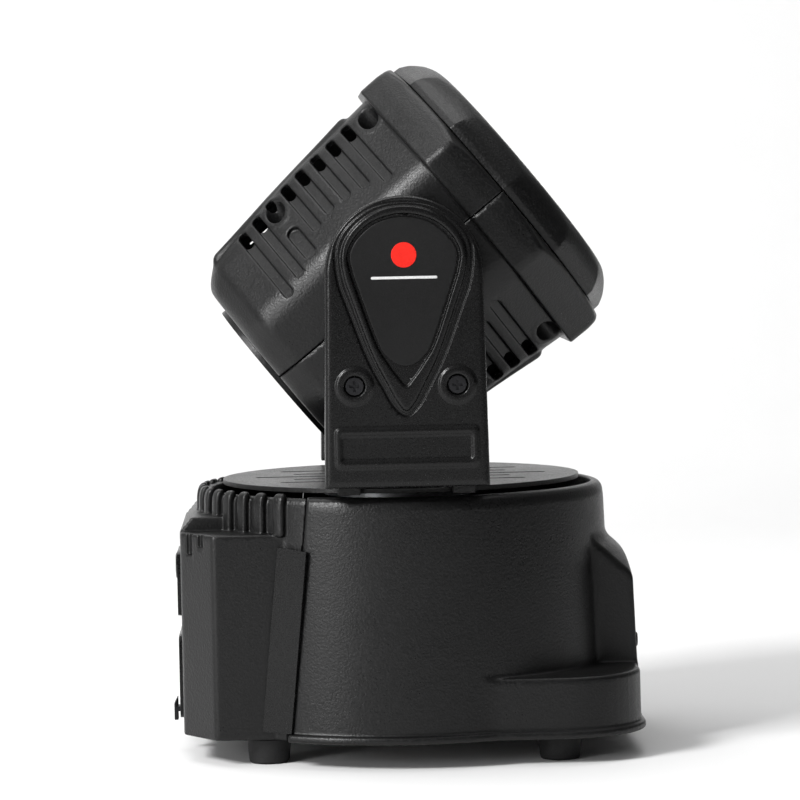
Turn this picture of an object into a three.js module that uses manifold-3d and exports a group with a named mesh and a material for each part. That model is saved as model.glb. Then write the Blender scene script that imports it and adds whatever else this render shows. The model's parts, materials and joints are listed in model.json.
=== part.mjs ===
// Moving head light: a drum-shaped base, a two-armed yoke that pans on it, and a tilting lamp head.
// Millimetres, +Z up. Feet stand on z = 0, the display side faces +X, the tilt axis runs along Y.
import * as THREE from 'three';
import { mergeVertices } from 'three/addons/utils/BufferGeometryUtils.js';
import Module from 'manifold-3d';

const wasm = await Module();
wasm.setup();

// ---------------------------------------------------------------- driving dimensions
const PAN_X = -0.3;            // pan axis, so that the box's middle is at x = 0
const PIVOT_Z = 178.6;         // tilt axis height
const HEAD_TILT = 39.1;        // degrees above the horizon at rest
const FOOT_DROP = 2.2;         // how far the feet reach below the datum of the other heights
const PLATE_Z0 = 7.4, PLATE_Z1 = 9.4;
const SHELL_Z0 = 7.4;
const RIM_Z = 97.4;            // top of the drum's rounded rim
const DRUM_R_TOP = 77.8, DRUM_R_BOT = 81.0, RIM_IN = 73.0;
const DISC_Z0 = 98.4, DISC_Z1 = 100.2, DISC_R = 68.5;
const DISPLAY_X_TOP = 86.0, DISPLAY_X_BOT = 88.0, DISPLAY_HALF = 34.6;
const TOE_Z = 29.8, TOE_X = 87.0;
const REAR_X = -84.3, REAR_HALF = 43.0, REAR_CH_X = -71.8, REAR_SIDE = 61.5, REAR_TOP = 83.5;
const FIN_PITCH = 7.0, FIN_W = 4.9;               // degrees, mm
const ARM_IN = 65.5, ARM_OUT = 83.5, ARM_SPLIT = 73.0;
const ARM_W_TOP = 28.7, ARM_W_BOT = 30.0, ARM_Z0 = 101.3;
const ARM_SCREW = [18.65, -40.0];                 // from the pivot
const WALL = 2.5, GAP = 0.3;
const SLOTS = [[17.1, 30.8], [8.8, 34.3], [0.6, 35.8], [-7.6, 35.8], [-15.7, 33.9], [-32.1, 25.0], [-40.2, 21.5]]; // station along the head, lower end
const WELLS = [[26.6, 54.3], [-24.1, 50.0]];      // screw wells in the head: station, height of the mouth
const HEAD_K = 0.972;          // finished size of the head against the outline tables below
const HEAD_AT = [2.6, 0, -0.6]; // the head mouldings' own origin, from the tilt axis
const PAN_RATIO = 4, PAN_BELT_D = 46, TILT_BELT_D = 58;

// ---------------------------------------------------------------- helpers
const M4 = () => new THREE.Matrix4();
function toManifold(g) {
  const c = g.clone();
  for (const k of Object.keys(c.attributes)) if (k !== 'position') c.deleteAttribute(k);
  const m = mergeVertices(c, 1e-4);
  return new wasm.Manifold(new wasm.Mesh({
    numProp: 3,
    vertProperties: new Float32Array(m.attributes.position.array),
    triVerts: new Uint32Array(m.index.array),
  }));
}
function toGeometry(man) {
  const mesh = man.getMesh();
  const g = new THREE.BufferGeometry();
  g.setAttribute('position', new THREE.BufferAttribute(new Float32Array(mesh.vertProperties), 3));
  g.setIndex(new THREE.BufferAttribute(new Uint32Array(mesh.triVerts), 1));
  g.computeVertexNormals();
  return g;
}
function place(g, { r = [0, 0, 0], t = [0, 0, 0] } = {}) {
  const m = M4().makeRotationFromEuler(new THREE.Euler(...r, 'XYZ'));
  m.setPosition(...t);
  return g.applyMatrix4(m);
}
const box = (x0, x1, y0, y1, z0, z1) =>
  toManifold(place(new THREE.BoxGeometry(x1 - x0, y1 - y0, z1 - z0), { t: [(x0 + x1) / 2, (y0 + y1) / 2, (z0 + z1) / 2] }));
// a straight prism of 2-D points; axis 'z' keeps (x, y), 'x' maps points to (y, z), 'y' maps points to (x, z)
function prism(points, a0, a1, axis = 'z', holes = []) {
  const s = points instanceof THREE.Shape ? points : new THREE.Shape(points.map((p) => new THREE.Vector2(p[0], p[1])));
  for (const h of holes) s.holes.push(new THREE.Path(h.map((p) => new THREE.Vector2(p[0], p[1]))));
  const g = new THREE.ExtrudeGeometry(s, { depth: a1 - a0, bevelEnabled: false, curveSegments: 8 });
  g.translate(0, 0, axis === 'y' ? -a1 : a0);
  if (axis === 'x') g.applyMatrix4(M4().set(0, 0, 1, 0, 1, 0, 0, 0, 0, 1, 0, 0, 0, 0, 0, 1));
  if (axis === 'y') g.applyMatrix4(M4().set(1, 0, 0, 0, 0, 0, -1, 0, 0, 1, 0, 0, 0, 0, 0, 1));
  return toManifold(g);
}
// cylinder or cone between a0 and a1 along an axis through c
function cyl(axis, a0, a1, r0, r1 = r0, c = [0, 0], seg = 24) {
  const g = new THREE.CylinderGeometry(r1, r0, a1 - a0, seg);
  const mid = (a0 + a1) / 2;
  if (axis === 'z') place(g, { r: [Math.PI / 2, 0, 0], t: [c[0], c[1], mid] });
  if (axis === 'y') g.translate(c[0], mid, c[1]);
  if (axis === 'x') place(g, { r: [0, 0, -Math.PI / 2], t: [mid, c[0], c[1]] });
  return toManifold(g);
}
// body of revolution: profile of [radius, height] about Z or about X (then height runs along +X)
function lathe(profile, seg = 48, axis = 'z', start = 0) {
  const pts = profile.map((p) => new THREE.Vector2(Math.max(p[0], 0), p[1]));
  const g = new THREE.LatheGeometry(pts, seg, start);
  g.applyMatrix4(M4().makeRotationX(Math.PI / 2));
  if (axis === 'x') g.applyMatrix4(M4().makeRotationY(Math.PI / 2));
  let m = toManifold(g);
  if (m.volume && m.volume() < 0) m = toManifold(flip(g));
  return m;
}
function flip(g) {
  const i = g.index.array;
  for (let k = 0; k < i.length; k += 3) { const a = i[k]; i[k] = i[k + 1]; i[k + 1] = a; }
  return g;
}
// the same solid on the other side of the y = 0 plane
function mirrorY(man) {
  const g = toGeometry(man);
  g.scale(1, -1, 1);
  flip(g);
  return toManifold(g);
}
function mirrorZ(man) {
  const g = toGeometry(man);
  g.scale(1, 1, -1);
  flip(g);
  return toManifold(g);
}
function moved(man, t = [0, 0, 0], r = [0, 0, 0]) { return toManifold(place(toGeometry(man), { r, t })); }
const union = (...m) => m.flat().reduce((a, b) => a.add(b));
const cut = (a, ...m) => m.flat().reduce((x, y) => x.subtract(y), a);
function roundRect(w, h, r, seg = 4, cx = 0, cy = 0) {
  const out = [];
  for (const [sx, sy, a0] of [[1, 1, 0], [-1, 1, 90], [-1, -1, 180], [1, -1, 270]])
    for (let i = 0; i <= seg; i++) {
      const a = (a0 + 90 * i / seg) * Math.PI / 180;
      out.push([cx + sx * (w / 2 - r) + r * Math.cos(a), cy + sy * (h / 2 - r) + r * Math.sin(a)]);
    }
  return out;
}
function arc(cx, cy, r, a0, a1, n) {
  return Array.from({ length: n + 1 }, (_, i) => {
    const a = (a0 + (a1 - a0) * i / n) * Math.PI / 180;
    return [cx + r * Math.cos(a), cy + r * Math.sin(a)];
  });
}
// a lofted solid along +X of polygons with a given apothem at each station, with rounded corners
function polyRadius(theta, sides, round) {
  const half = Math.PI / sides;
  let p = ((theta % (2 * half)) + 2 * half) % (2 * half);
  if (p > half) p = 2 * half - p;
  const t = (1 - round) * Math.tan(half);
  if (Math.tan(p) <= t) return 1 / Math.cos(p);
  const c = (1 - round) / Math.cos(half), d = half - p;
  return c * Math.cos(d) + Math.sqrt(Math.max(round * round - (c * Math.sin(d)) ** 2, 0));
}
function loft(stations, sides, round, seg) {
  const n = seg, pos = [], idx = [];
  for (const [u, ap] of stations)
    for (let i = 0; i < n; i++) {
      const a = 2 * Math.PI * i / n, r = ap * polyRadius(a, sides, round);
      pos.push(u, r * Math.cos(a), r * Math.sin(a));
    }
  const m = stations.length;
  for (let s = 0; s < m - 1; s++)
    for (let i = 0; i < n; i++) {
      const a = s * n + i, b = s * n + (i + 1) % n, c = a + n, d = b + n;
      idx.push(a, b, c, b, d, c);
    }
  const e0 = pos.length / 3; pos.push(stations[0][0], 0, 0);
  const e1 = e0 + 1; pos.push(stations[m - 1][0], 0, 0);
  for (let i = 0; i < n; i++) {
    idx.push(e0, (i + 1) % n, i);
    idx.push(e1, (m - 1) * n + i, (m - 1) * n + (i + 1) % n);
  }
  const g = new THREE.BufferGeometry();
  g.setAttribute('position', new THREE.BufferAttribute(new Float32Array(pos), 3));
  g.setIndex(idx);
  return toManifold(g);
}
const DEG = Math.PI / 180;
const sized = (man) => toManifold(toGeometry(man).scale(HEAD_K, HEAD_K, HEAD_K).translate(...HEAD_AT));

// ---------------------------------------------------------------- scene graph
const light = new THREE.Group();
const panFrame = new THREE.Group();            // origin on the pan axis, FOOT_DROP above the floor
panFrame.position.set(PAN_X, 0, FOOT_DROP);
const headFrame = new THREE.Group();           // origin on the tilt axis, +X along the beam
headFrame.position.z = PIVOT_Z;
headFrame.rotation.y = -HEAD_TILT * DEG;
panFrame.add(headFrame);
light.add(panFrame);

const FINISH = {
  shell: { color: 0x1b1b1c, roughness: 0.5, metalness: 0 },
  satin: { color: 0x19191a, roughness: 0.38, metalness: 0 },
  badge: { color: 0x101011, roughness: 0.45, metalness: 0 },
  rubber: { color: 0x121212, roughness: 0.8, metalness: 0 },
  steel: { color: 0x8b8d90, roughness: 0.35, metalness: 1 },
  dark_steel: { color: 0x2a2a2c, roughness: 0.4, metalness: 1 },
  aluminium: { color: 0xa7a9ac, roughness: 0.4, metalness: 1 },
  pcb: { color: 0x0e3a22, roughness: 0.5, metalness: 0 },
  white_pcb: { color: 0xd9dad6, roughness: 0.5, metalness: 0 },
  lens: { color: 0xdfe5ea, roughness: 0.08, metalness: 0 },
  window: { color: 0x14181c, roughness: 0.12, metalness: 0 },
  brass: { color: 0xb08d45, roughness: 0.35, metalness: 1 },
};
function node(name, man, finish, parent = panFrame) {
  const f = FINISH[finish];
  const mesh = new THREE.Mesh(toGeometry(man), new THREE.MeshStandardMaterial({ ...f, name: finish }));
  mesh.name = name;
  parent.add(mesh);
  return mesh;
}

// ================================================================ BASE
function drumOuter() {
  const rt = DRUM_R_TOP, rb = DRUM_R_BOT;
  return lathe([[0, SHELL_Z0], [rb, SHELL_Z0], [rt, RIM_Z - 4.6], [rt - 0.5, RIM_Z - 2.4], [rt - 1.9, RIM_Z - 0.6], [rt - 3.4, RIM_Z], [0, RIM_Z]], 56);
}
function drumInner() {
  return lathe([[0, 5], [DRUM_R_BOT - WALL, 5], [DRUM_R_TOP - WALL, RIM_Z - 9], [RIM_IN, RIM_Z - 6], [RIM_IN, RIM_Z + 5], [0, RIM_Z + 5]], 48);
}
// display housing: a drafted block under a cone that slopes away from the drum
function displayBlock(off) {
  const h = DISPLAY_HALF - off, z0 = off > 0 ? 5 : SHELL_Z0;
  const block = prism([[40, z0], [DISPLAY_X_BOT - off, z0], [DISPLAY_X_TOP - off, 64], [DISPLAY_X_TOP - off - 0.6, 84], [40, 84]], -h, h, 'y');
  const cone = lathe([[0, 4], [110, 4], [110, 47.6 - off], [92.8, 63.2 - off], [86, 69.4 - off], [81.6, 74.0 - off], [77.6, 77.0 - off], [70, 81.6 - off], [0, 81.6 - off]], 48);
  return block.intersect(cone);
}
function toeOutline(off) {
  const x = TOE_X - off, r = 30 - off, y = 75.2 - off;
  return [[20, -60], [26, -y], [56, -y], ...arc(TOE_X - 30, -45.2, r, -88, 0, 6), ...arc(TOE_X - 30, 45.2, r, 0, 88, 6), [56, y], [26, y], [20, 60]];
}
const toeBlock = (off) => prism(toeOutline(off), off > 0 ? 5 : SHELL_Z0, TOE_Z - Math.max(off, 0), 'z');
// the side seam leans back towards the floor
const SEAM_TOP = [-36.0, 104], SEAM_BOT = [-46.0, 4];
{ // front shell: drum wall, display housing, toe band, foot bead
  const bead = union(cyl('z', SHELL_Z0, SHELL_Z0 + 2.8, 83.2, 83.0, [0, 0], 56), prism(toeOutline(-1.8), SHELL_Z0, SHELL_Z0 + 2.8, 'z'));
  let shell = union(drumOuter(), displayBlock(0), toeBlock(0), bead);
  shell = cut(shell, drumInner(), displayBlock(WALL), toeBlock(WALL));
  shell = shell.intersect(prism([[SEAM_BOT[0] + 0.15, SEAM_BOT[1]], [120, SEAM_BOT[1]], [120, SEAM_TOP[1]], [SEAM_TOP[0] + 0.15, SEAM_TOP[1]]], -120, 120, 'y'));
  shell = cut(shell, prism(roundRect(44, 17, 1.5, 1, 0, 52), 70, 100, 'x'));
  for (let i = 0; i < 4; i++) shell = cut(shell, cyl('x', 70, 100, 3.4, 3.4, [-18 + 12 * i, 36.5], 12));
  node('base_front_shell', shell, 'shell');
}
{ // rear shell: drum wall, socket box, finned shoulder and louvred slope
  const boxShape = (off) => {
    const h = REAR_HALF - off * 0.7, s = REAR_SIDE - off, x = REAR_X + off, c = REAR_CH_X + off * 0.7;
    return prism([[-25, s], [c, s], [x, h], [x, -h], [c, -s], [-25, -s]], off > 0 ? 5 : SHELL_Z0, REAR_TOP - off, 'z');
  };
  const drum = lathe([[0, SHELL_Z0], [79.0, SHELL_Z0], [76.4, 84], [76.2, RIM_Z - 3], [75.4, RIM_Z - 1], [74.2, RIM_Z - 0.4], [0, RIM_Z - 0.4]], 56);
  const drumIn = lathe([[0, 5], [76.4, 5], [74.0, 84], [RIM_IN, 90], [RIM_IN, RIM_Z + 5], [0, RIM_Z + 5]], 48);
  const slope = prism([[-60, 82], [REAR_X, 82], [REAR_X, 83.9], [-83.1, 84.5], [-83.1, 85.3], [-81.9, 85.9], [-81.9, 86.7], [-80.7, 87.3], [-80.7, 88.1], [-79.5, 88.7], [-60, 88.7]], -40, 40, 'y');
  const slopeIn = prism([[-60, 70], [REAR_X + WALL, 70], [REAR_X + WALL, 81], [-60, 86.2]], -37.5, 37.5, 'y');
  const ribs = [];
  for (let k = 0; k < 16; k++) {
    const a = 180 + (k - 7.5) * FIN_PITCH;
    ribs.push(moved(prism([[75.3, 82.5], [78.9, 82.5], [78.7, 94.6], [78.0, 97.2], [76.8, 98.5], [75.3, 98.6]], -FIN_W / 2, FIN_W / 2, 'y'), [0, 0, 0], [0, 0, a * DEG]));
  }
  let shell = union(drum, boxShape(0), slope, ...ribs);
  shell = cut(shell, drumIn, boxShape(WALL), slopeIn);
  shell = shell.intersect(prism([[-130, SEAM_BOT[1]], [SEAM_BOT[0] - 0.15, SEAM_BOT[1]], [SEAM_TOP[0] - 0.15, SEAM_TOP[1]], [-130, SEAM_TOP[1]]], -120, 120, 'y'));
  shell = cut(shell, prism(roundRect(27.4, 20.4, 1, 1, -9, 62), -100, -70, 'x'), cyl('x', -100, -70, 6.3, 6.3, [19, 65], 20));
  shell = cut(shell, cyl('x', -100, -70, 11.9, 11.9, [-15.5, 27], 24), cyl('x', -100, -70, 11.9, 11.9, [15.5, 27], 24), box(-100, -70, -15.5 - 3.4, -15.5 + 3.4, 12.5, 17));
  for (const s of [-1, 1]) for (const [d, h] of [[0.28, 8.0], [0.62, 4.6]]) {
    const c = [REAR_X + (REAR_CH_X - REAR_X) * d, s * (REAR_HALF + (REAR_SIDE - REAR_HALF) * d)];
    shell = cut(shell, moved(box(-1.2, 1.2, -1.5, 1.5, REAR_TOP - h, REAR_TOP + 1), [c[0], c[1], 0], [0, 0, s * 48 * DEG]));
  }
  node('base_rear_shell', shell, 'shell');
}
{ // steel floor plate with a tapped pad for a hanging bracket
  const outline = [...arc(0, 0, 77.2, -120, -58, 10), ...arc(TOE_X - 30, -43.2, 26.4, -86, 0, 5), ...arc(TOE_X - 30, 43.2, 26.4, 0, 86, 5), ...arc(0, 0, 77.2, 58, 120, 10), [-48, 54.8], [-69.4, 54.8], [-81.2, 40.6], [-81.2, -40.6], [-69.4, -54.8], [-48, -54.8]];
  let plate = prism(outline, PLATE_Z0, PLATE_Z1, 'z');
  plate = union(plate, prism(roundRect(36, 36, 4, 3), 5.4, PLATE_Z0 + 0.5, 'z'));
  plate = cut(plate, cyl('z', 0, 20, 5.0, 5.0, [0, 0], 24));
  node('base_plate', plate, 'dark_steel');
}
for (const [name, x, y] of [['foot_front_left', 55.5, 58], ['foot_front_right', 55.5, -58], ['foot_rear_left', -52.5, 51], ['foot_rear_right', -52.5, -51]])
  node(name, moved(lathe([[0, -FOOT_DROP], [6.9, -FOOT_DROP], [7.4, 0.5 - FOOT_DROP], [8.4, PLATE_Z0 - GAP], [0, PLATE_Z0 - GAP]], 16), [x, y, 0]), 'rubber');
{ // leaning trim strips over the side seams
  const from = new THREE.Vector3(-50.6, -65.4, 8.4), to = new THREE.Vector3(-43.6, -67.6, 78.4);
  const dir = to.clone().sub(from), len = dir.length();
  const z = dir.normalize(), n = new THREE.Vector3(-0.56, -0.83, 0);
  n.addScaledVector(z, -n.dot(z)).normalize();
  const x = new THREE.Vector3().crossVectors(n, z).normalize().negate();
  const sec = [[-5.6, 0.4], [-5.0, 3.0], [3.2, 3.9], [7.4, 1.4], [7.4, 0.2]].map((p) => new THREE.Vector2(p[0], p[1]));
  const g = new THREE.ExtrudeGeometry(new THREE.Shape(sec), { depth: len, bevelEnabled: false });
  const y = new THREE.Vector3().crossVectors(z, x).normalize();
  const basis = M4().makeBasis(x, y, z);
  basis.setPosition(from);
  g.applyMatrix4(basis);
  const clear = union(lathe([[0, 0], [DRUM_R_BOT + 0.5, 0], [DRUM_R_BOT + GAP + 0.1, SHELL_Z0], [DRUM_R_TOP + GAP + 0.1, RIM_Z - 4.6], [0, RIM_Z]], 64), cyl('z', 5, SHELL_Z0 + 3.1, 83.6, 83.6, [0, 0], 64), box(-100, -30, -REAR_SIDE - GAP, REAR_SIDE + GAP, 0, 100));
  const strip = cut(toManifold(g), clear);
  node('seam_trim_right', strip, 'satin');
  node('seam_trim_left', mirrorY(strip), 'satin');
}
{ // display window, its board and four push buttons
  node('display_window', prism(roundRect(43.2, 16.2, 1.2, 2, 0, 52), 83.0, 85.4, 'x'), 'window');
  let board = prism(roundRect(58, 36, 1.5, 1, 0, 45.5), 74.2, 75.8, 'x');
  board = union(board, box(75.5, 82.4, -20, 20, 45.5, 58.5));
  node('display_board', board, 'pcb');
  for (let i = 0; i < 4; i++) {
    const c = [-18 + 12 * i, 36.5];
    node('menu_button_' + (i + 1), moved(lathe([[0, 80.4], [4.3, 80.4], [4.3, 81.8], [3.0, 81.8], [3.0, 88.2], [2.5, 88.8], [0, 88.8]], 12, 'x'), [0, c[0], c[1]]), 'satin');
  }
}
{ // rear panel: power inlet, fuse holder, data sockets
  let inlet = union(prism(roundRect(31, 24, 2, 2, -9, 62), -86.2, REAR_X - GAP, 'x'), prism(roundRect(26.8, 19.8, 1, 1, -9, 62), REAR_X - GAP - 0.1, -66, 'x'));
  inlet = cut(inlet, prism([[-21.2, 53.7], [3.2, 53.7], [3.2, 67.0], [-0.6, 70.4], [-17.4, 70.4], [-21.2, 67.0]], -90, -69, 'x'));
  for (const [y, z] of [[-16, 60.4], [-2, 60.4], [-9, 64.4]]) inlet = union(inlet, box(-83.6, -68, y - 1, y + 1, z - 2, z + 2));
  node('power_inlet', inlet, 'satin');
  const fuse = lathe([[0, -88.0], [4.6, -88.0], [5.4, -87.4], [5.6, -86.2], [7.4, -86.0], [7.4, REAR_X - GAP], [6.0, REAR_X - GAP], [6.0, -62], [0, -62]], 20, 'x');
  node('fuse_cap', moved(fuse, [0, 19, 65]), 'satin');
  for (const [name, y, male] of [['data_socket_in', 15.5, true], ['data_socket_out', -15.5, false]]) {
    let s = union(prism(roundRect(26, 31, 3, 3, y, 27), -86.0, REAR_X - GAP, 'x'), cyl('x', REAR_X - GAP - 0.1, -66, 11.6, 11.6, [y, 27], 24));
    if (male) {
      s = cut(s, cyl('x', -90, -70, 9.2, 9.2, [y, 27], 24));
      for (const [dy, dz] of [[-4.2, 2.6], [4.2, 2.6], [0, -4.2]]) s = union(s, cyl('x', -83.0, -68, 1.2, 1.2, [y + dy, 27 + dz], 8));
    } else {
      s = cut(s, cyl('x', -90, -70, 9.2, 9.2, [y, 27], 24));
      let core = cyl('x', -84.6, -68, 7.2, 7.2, [y, 27], 20);
      for (const [dy, dz] of [[-3.6, 2.2], [3.6, 2.2], [0, -3.6]]) core = cut(core, cyl('x', -90, -72, 1.3, 1.3, [y + dy, 27 + dz], 8));
      s = union(s, core);
      s = cut(s, box(-90, -83.2, y - 3.4, y + 3.4, 12.5, 15.2));
    }
    node(name, s, 'satin');
  }
  node('data_latch', prism([[-83.0, 12.9], [-87.1, 12.9], [-87.1, 9.6], [-88.6, 9.6], [-88.6, 15.8], [-87.4, 18.2], [-87.1, 18.2], [-87.1, 14.8], [-83.0, 14.8]], -15.5 - 3.0, -15.5 + 3.0, 'y'), 'dark_steel');
}
{ // pan drive and electronics inside the drum
  let bridge = union(box(-36, 71, -20, 20, 58, 60), box(-36, -34, -20, 20, PLATE_Z1 + GAP, 58.5), box(69, 71, -20, 20, PLATE_Z1 + GAP, 58.5), box(-50, -34.5, -20, 20, PLATE_Z1 + GAP, 11.7));
  bridge = cut(bridge, cyl('z', 50, 70, 15.5, 15.5, [0, 0], 32), cyl('z', 50, 70, 6, 6, [PAN_BELT_D, 0], 20));
  node('pan_bridge', bridge, 'steel');
  node('pan_bearing', lathe([[14.1, 60.3], [21, 60.3], [21, 68.3], [14.1, 68.3], [14.1, 60.3]], 32), 'steel');
  let motor = prism(roundRect(42, 42, 4, 2, PAN_BELT_D, 0), 24, 57.7, 'z');
  node('pan_motor', motor, 'dark_steel');
  node('pan_motor_pulley', moved(lathe([[0, 58.2], [2.5, 58.2], [2.5, 71.0], [9.2, 71.0], [9.2, 72.0], [8.0, 72.0], [8.0, 80.0], [9.2, 80.0], [9.2, 81.0], [0, 81.0]], 16), [PAN_BELT_D, 0, 0]), 'aluminium');
  node('pan_belt', beltLoop(32, 8, PAN_BELT_D, 1.4, 72.6, 79.4), 'rubber');
  node('power_supply', union(box(-30, 30, 32, 58, 11.0, 12.6), box(-26, 6, 35, 56, 12.4, 38), box(10, 27, 36, 55, 12.4, 30)), 'pcb');
  node('control_board', union(box(-30, 30, -60, -30, 11.0, 12.6), box(-20, -4, -54, -38, 12.4, 15.4), box(6, 24, -56, -44, 12.4, 20)), 'pcb');
}
function beltLoop(r1, r2, d, t, z0, z1) { // open loop round two pulleys at (0, 0) and (d, 0)
  const ring = (g) => {
    const a = Math.acos((r1 - r2) / d) / DEG;
    return [...arc(0, 0, r1 + g, a, 360 - a, 20), ...arc(d, 0, r2 + g, -a, a, 10)];
  };
  return prism(ring(0.25 + t), z0, z1, 'z', [ring(0.25).reverse()]);
}

// ================================================================ YOKE
{
  let disc = cyl('z', DISC_Z0, DISC_Z1, DISC_R, DISC_R, [0, 0], 48);
  for (const sx of [-1, 1]) for (const sy of [-1, 1]) {
    const bar = (x0, x1, y0, y1, z0, z1) => box(Math.min(sx * x0, sx * x1), Math.max(sx * x0, sx * x1), Math.min(sy * y0, sy * y1), Math.max(sy * y0, sy * y1), z0, z1);
    disc = union(disc, bar(17, 25, 55, 70.4, 98.1, DISC_Z1), bar(17, 25, 68.2, 70.4, 98.5, 134));
  }
  disc = cut(disc, cyl('z', 90, 110, 9, 9, [0, 0], 24));
  for (const s of [-1, 1]) for (const [y, x0, x1] of [[0, 24, 56], [13, 22, 41.5], [-13, 22, 41.5], [28, 20, 46.5], [-28, 20, 46.5]])
    disc = cut(disc, prism(roundRect(x1 - x0, 3.0, 1.45, 2, s * (x0 + x1) / 2, y), 90, 110, 'z'));
  node('yoke_turntable', disc, 'shell');
  node('pan_hub', lathe([[9, 46], [13.95, 46], [13.95, 70.6], [33.4, 70.6], [33.4, 71.8], [32, 71.8], [32, 80.2], [33.4, 80.2], [33.4, 81.4], [15, 81.4], [15, 93.5], [30, 93.5], [30, DISC_Z0 - GAP], [9, DISC_Z0 - GAP], [9, 46]], 28), 'aluminium');
}
// outline of an arm in the (x, z) plane, z from the pivot
function armOutline(off, bottom = ARM_Z0 - PIVOT_Z) {
  const wt = ARM_W_TOP - off, wb = ARM_W_BOT - off;
  return [[-wb, bottom], [wb, bottom], [wt, 0], ...arc(0, 0, wt, 0, 180, 16).slice(1, -1), [-wt, 0]];
}
const teardrop = (k, dy = 0) => { // pointed drop round the badge, k is the offset outwards
  const half = [[0, 25.0 + k], [8.5, 23.6 + k * 0.95], [15.6, 19.4 + k * 0.8], [20.6, 13.6 + k * 0.55], [22.6 + k, 7.0], [21.4 + k, -2.0], [18.6 + k, -10.2], [12.0 + k, -28.6], [6.0 + k * 0.9, -40.0 - k * 0.4], [2.4 + k * 0.6, -46.6 - k * 0.9], [0, -48.6 - k]];
  return [...half, ...half.slice(1, -1).reverse().map(([x, z]) => [-x, z])].map(([x, z]) => [x, z + dy]).reverse();
};
const badgeOutline = (k) => {
  const half = [[0, 21.0 + k], [9.5, 18.9 + k], [16.0, 13.6 + k * 0.7], [19.3 + k, 8.0], [17.4 + k, -1.5], [9.6 + k, -24.6], [6.2 + k * 0.8, -30.4 - k * 0.6], [0, -32.8 - k]];
  return [...half, ...half.slice(1, -1).reverse().map(([x, z]) => [-x, z])].reverse();
};
{
  const up = (m) => moved(m, [0, 0, PIVOT_Z]);
  let inner = prism(armOutline(0), -ARM_SPLIT, -ARM_IN, 'y');
  inner = cut(inner, prism(armOutline(2.2, -90), -90, -ARM_IN - 2.2, 'y'));
  inner = cut(union(inner, cyl('y', -71.6, -66, 15.5, 15.5, [0, 0], 24)), cyl('y', -90, -50, 12.6, 12.6, [0, 0], 24));
  for (const s of [-1, 1]) inner = union(inner, cyl('y', -72.7, -66.5, 3.2, 3.2, [s * ARM_SCREW[0], ARM_SCREW[1]], 10));
  for (const s of [-1, 1]) inner = cut(inner, cyl('y', -73, -69, 1.9, 1.9, [s * ARM_SCREW[0], ARM_SCREW[1]], 8));
  node('arm_inner_right', up(inner), 'satin');
  node('arm_inner_left', up(mirrorY(inner)), 'satin');

  let cover = prism(armOutline(0), -ARM_OUT, -ARM_SPLIT - GAP, 'y');
  cover = cut(cover, prism(armOutline(2.2, -90), -ARM_OUT + 2.4, -50, 'y'));
  cover = union(cover, prism(teardrop(0), -ARM_OUT - 1.3, -ARM_OUT + 0.5, 'y'));
  cover = cut(cover, prism(badgeOutline(1.2).map(([x, z]) => [x, z < -30 ? z - 6.5 : z]), -90, -ARM_OUT + 0.2, 'y'));
  cover = union(cover, cut(prism(roundRect(51.8, 14.4, 1.6, 2, 0, -62.4), -ARM_OUT - 0.8, -ARM_OUT + 0.3, 'y'), prism(roundRect(47.9, 9.6, 1, 2, 0, -62.4), -90, -80, 'y')));
  for (const s of [-1, 1]) {
    cover = union(cover, cyl('y', -ARM_OUT - 0.9, -73.6, 6.7, 6.7, [s * ARM_SCREW[0], ARM_SCREW[1]], 16).intersect(prism(armOutline(0.4), -90, -60, 'y')));
    cover = cut(cover, cyl('y', -90, -81.3, 3.8, 3.8, [s * ARM_SCREW[0], ARM_SCREW[1]], 14), cyl('y', -90, -70, 2.2, 2.2, [s * ARM_SCREW[0], ARM_SCREW[1]], 8));
  }
  node('arm_cover_right', up(cover), 'satin');
  node('arm_cover_left', up(mirrorY(cover)), 'satin');
  const badge = prism(badgeOutline(0), -ARM_OUT - 0.6, -ARM_OUT - 0.1, 'y');
  node('badge_right', up(badge), 'badge');
  node('badge_left', up(mirrorY(badge)), 'badge');
  for (const [n, s] of [['front', 1], ['rear', -1]]) {
    let screw = union(cyl('y', -83.6, -81.6, 3.3, 3.3, [s * ARM_SCREW[0], ARM_SCREW[1]], 12), cyl('y', -81.7, -70, 1.5, 1.5, [s * ARM_SCREW[0], ARM_SCREW[1]], 8));
    const cx = s * ARM_SCREW[0], cz = ARM_SCREW[1];
    screw = cut(screw, box(cx - 1.9, cx + 1.9, -84, -82.6, cz - 0.45, cz + 0.45), box(cx - 0.45, cx + 0.45, -84, -82.6, cz - 1.9, cz + 1.9));
    node('arm_screw_' + n + '_right', up(screw), 'dark_steel');
    node('arm_screw_' + n + '_left', up(mirrorY(screw)), 'dark_steel');
  }
  // tilt drive in the right arm: thin stepper at the bottom, belt up to the pivot
  node('tilt_motor', up(prism(roundRect(28, 28, 3, 2, 0, -TILT_BELT_D), -74.6, -68.2, 'y')), 'dark_steel');
  const p = moved(lathe([[0, 0], [2.0, 0], [2.0, 0.9], [6.9, 0.9], [6.9, 1.5], [6.0, 1.5], [6.0, 5.1], [6.9, 5.1], [6.9, 5.7], [0, 5.7]], 14), [0, 0, 0], [Math.PI / 2, 0, 0]);
  node('tilt_motor_pulley', moved(p, [0, -74.9, PIVOT_Z - TILT_BELT_D]), 'aluminium');
  const belt = moved(beltLoop(18, 6, TILT_BELT_D, 1.2, 0, 3.0), [0, 0, 0], [0, Math.PI / 2, 0]);   // long axis now along -Z, width along X
  const b2 = moved(belt, [0, 0, 0], [0, 0, -Math.PI / 2]);
  node('tilt_belt', moved(b2, [0, -76.7, PIVOT_Z]), 'rubber');
}

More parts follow.
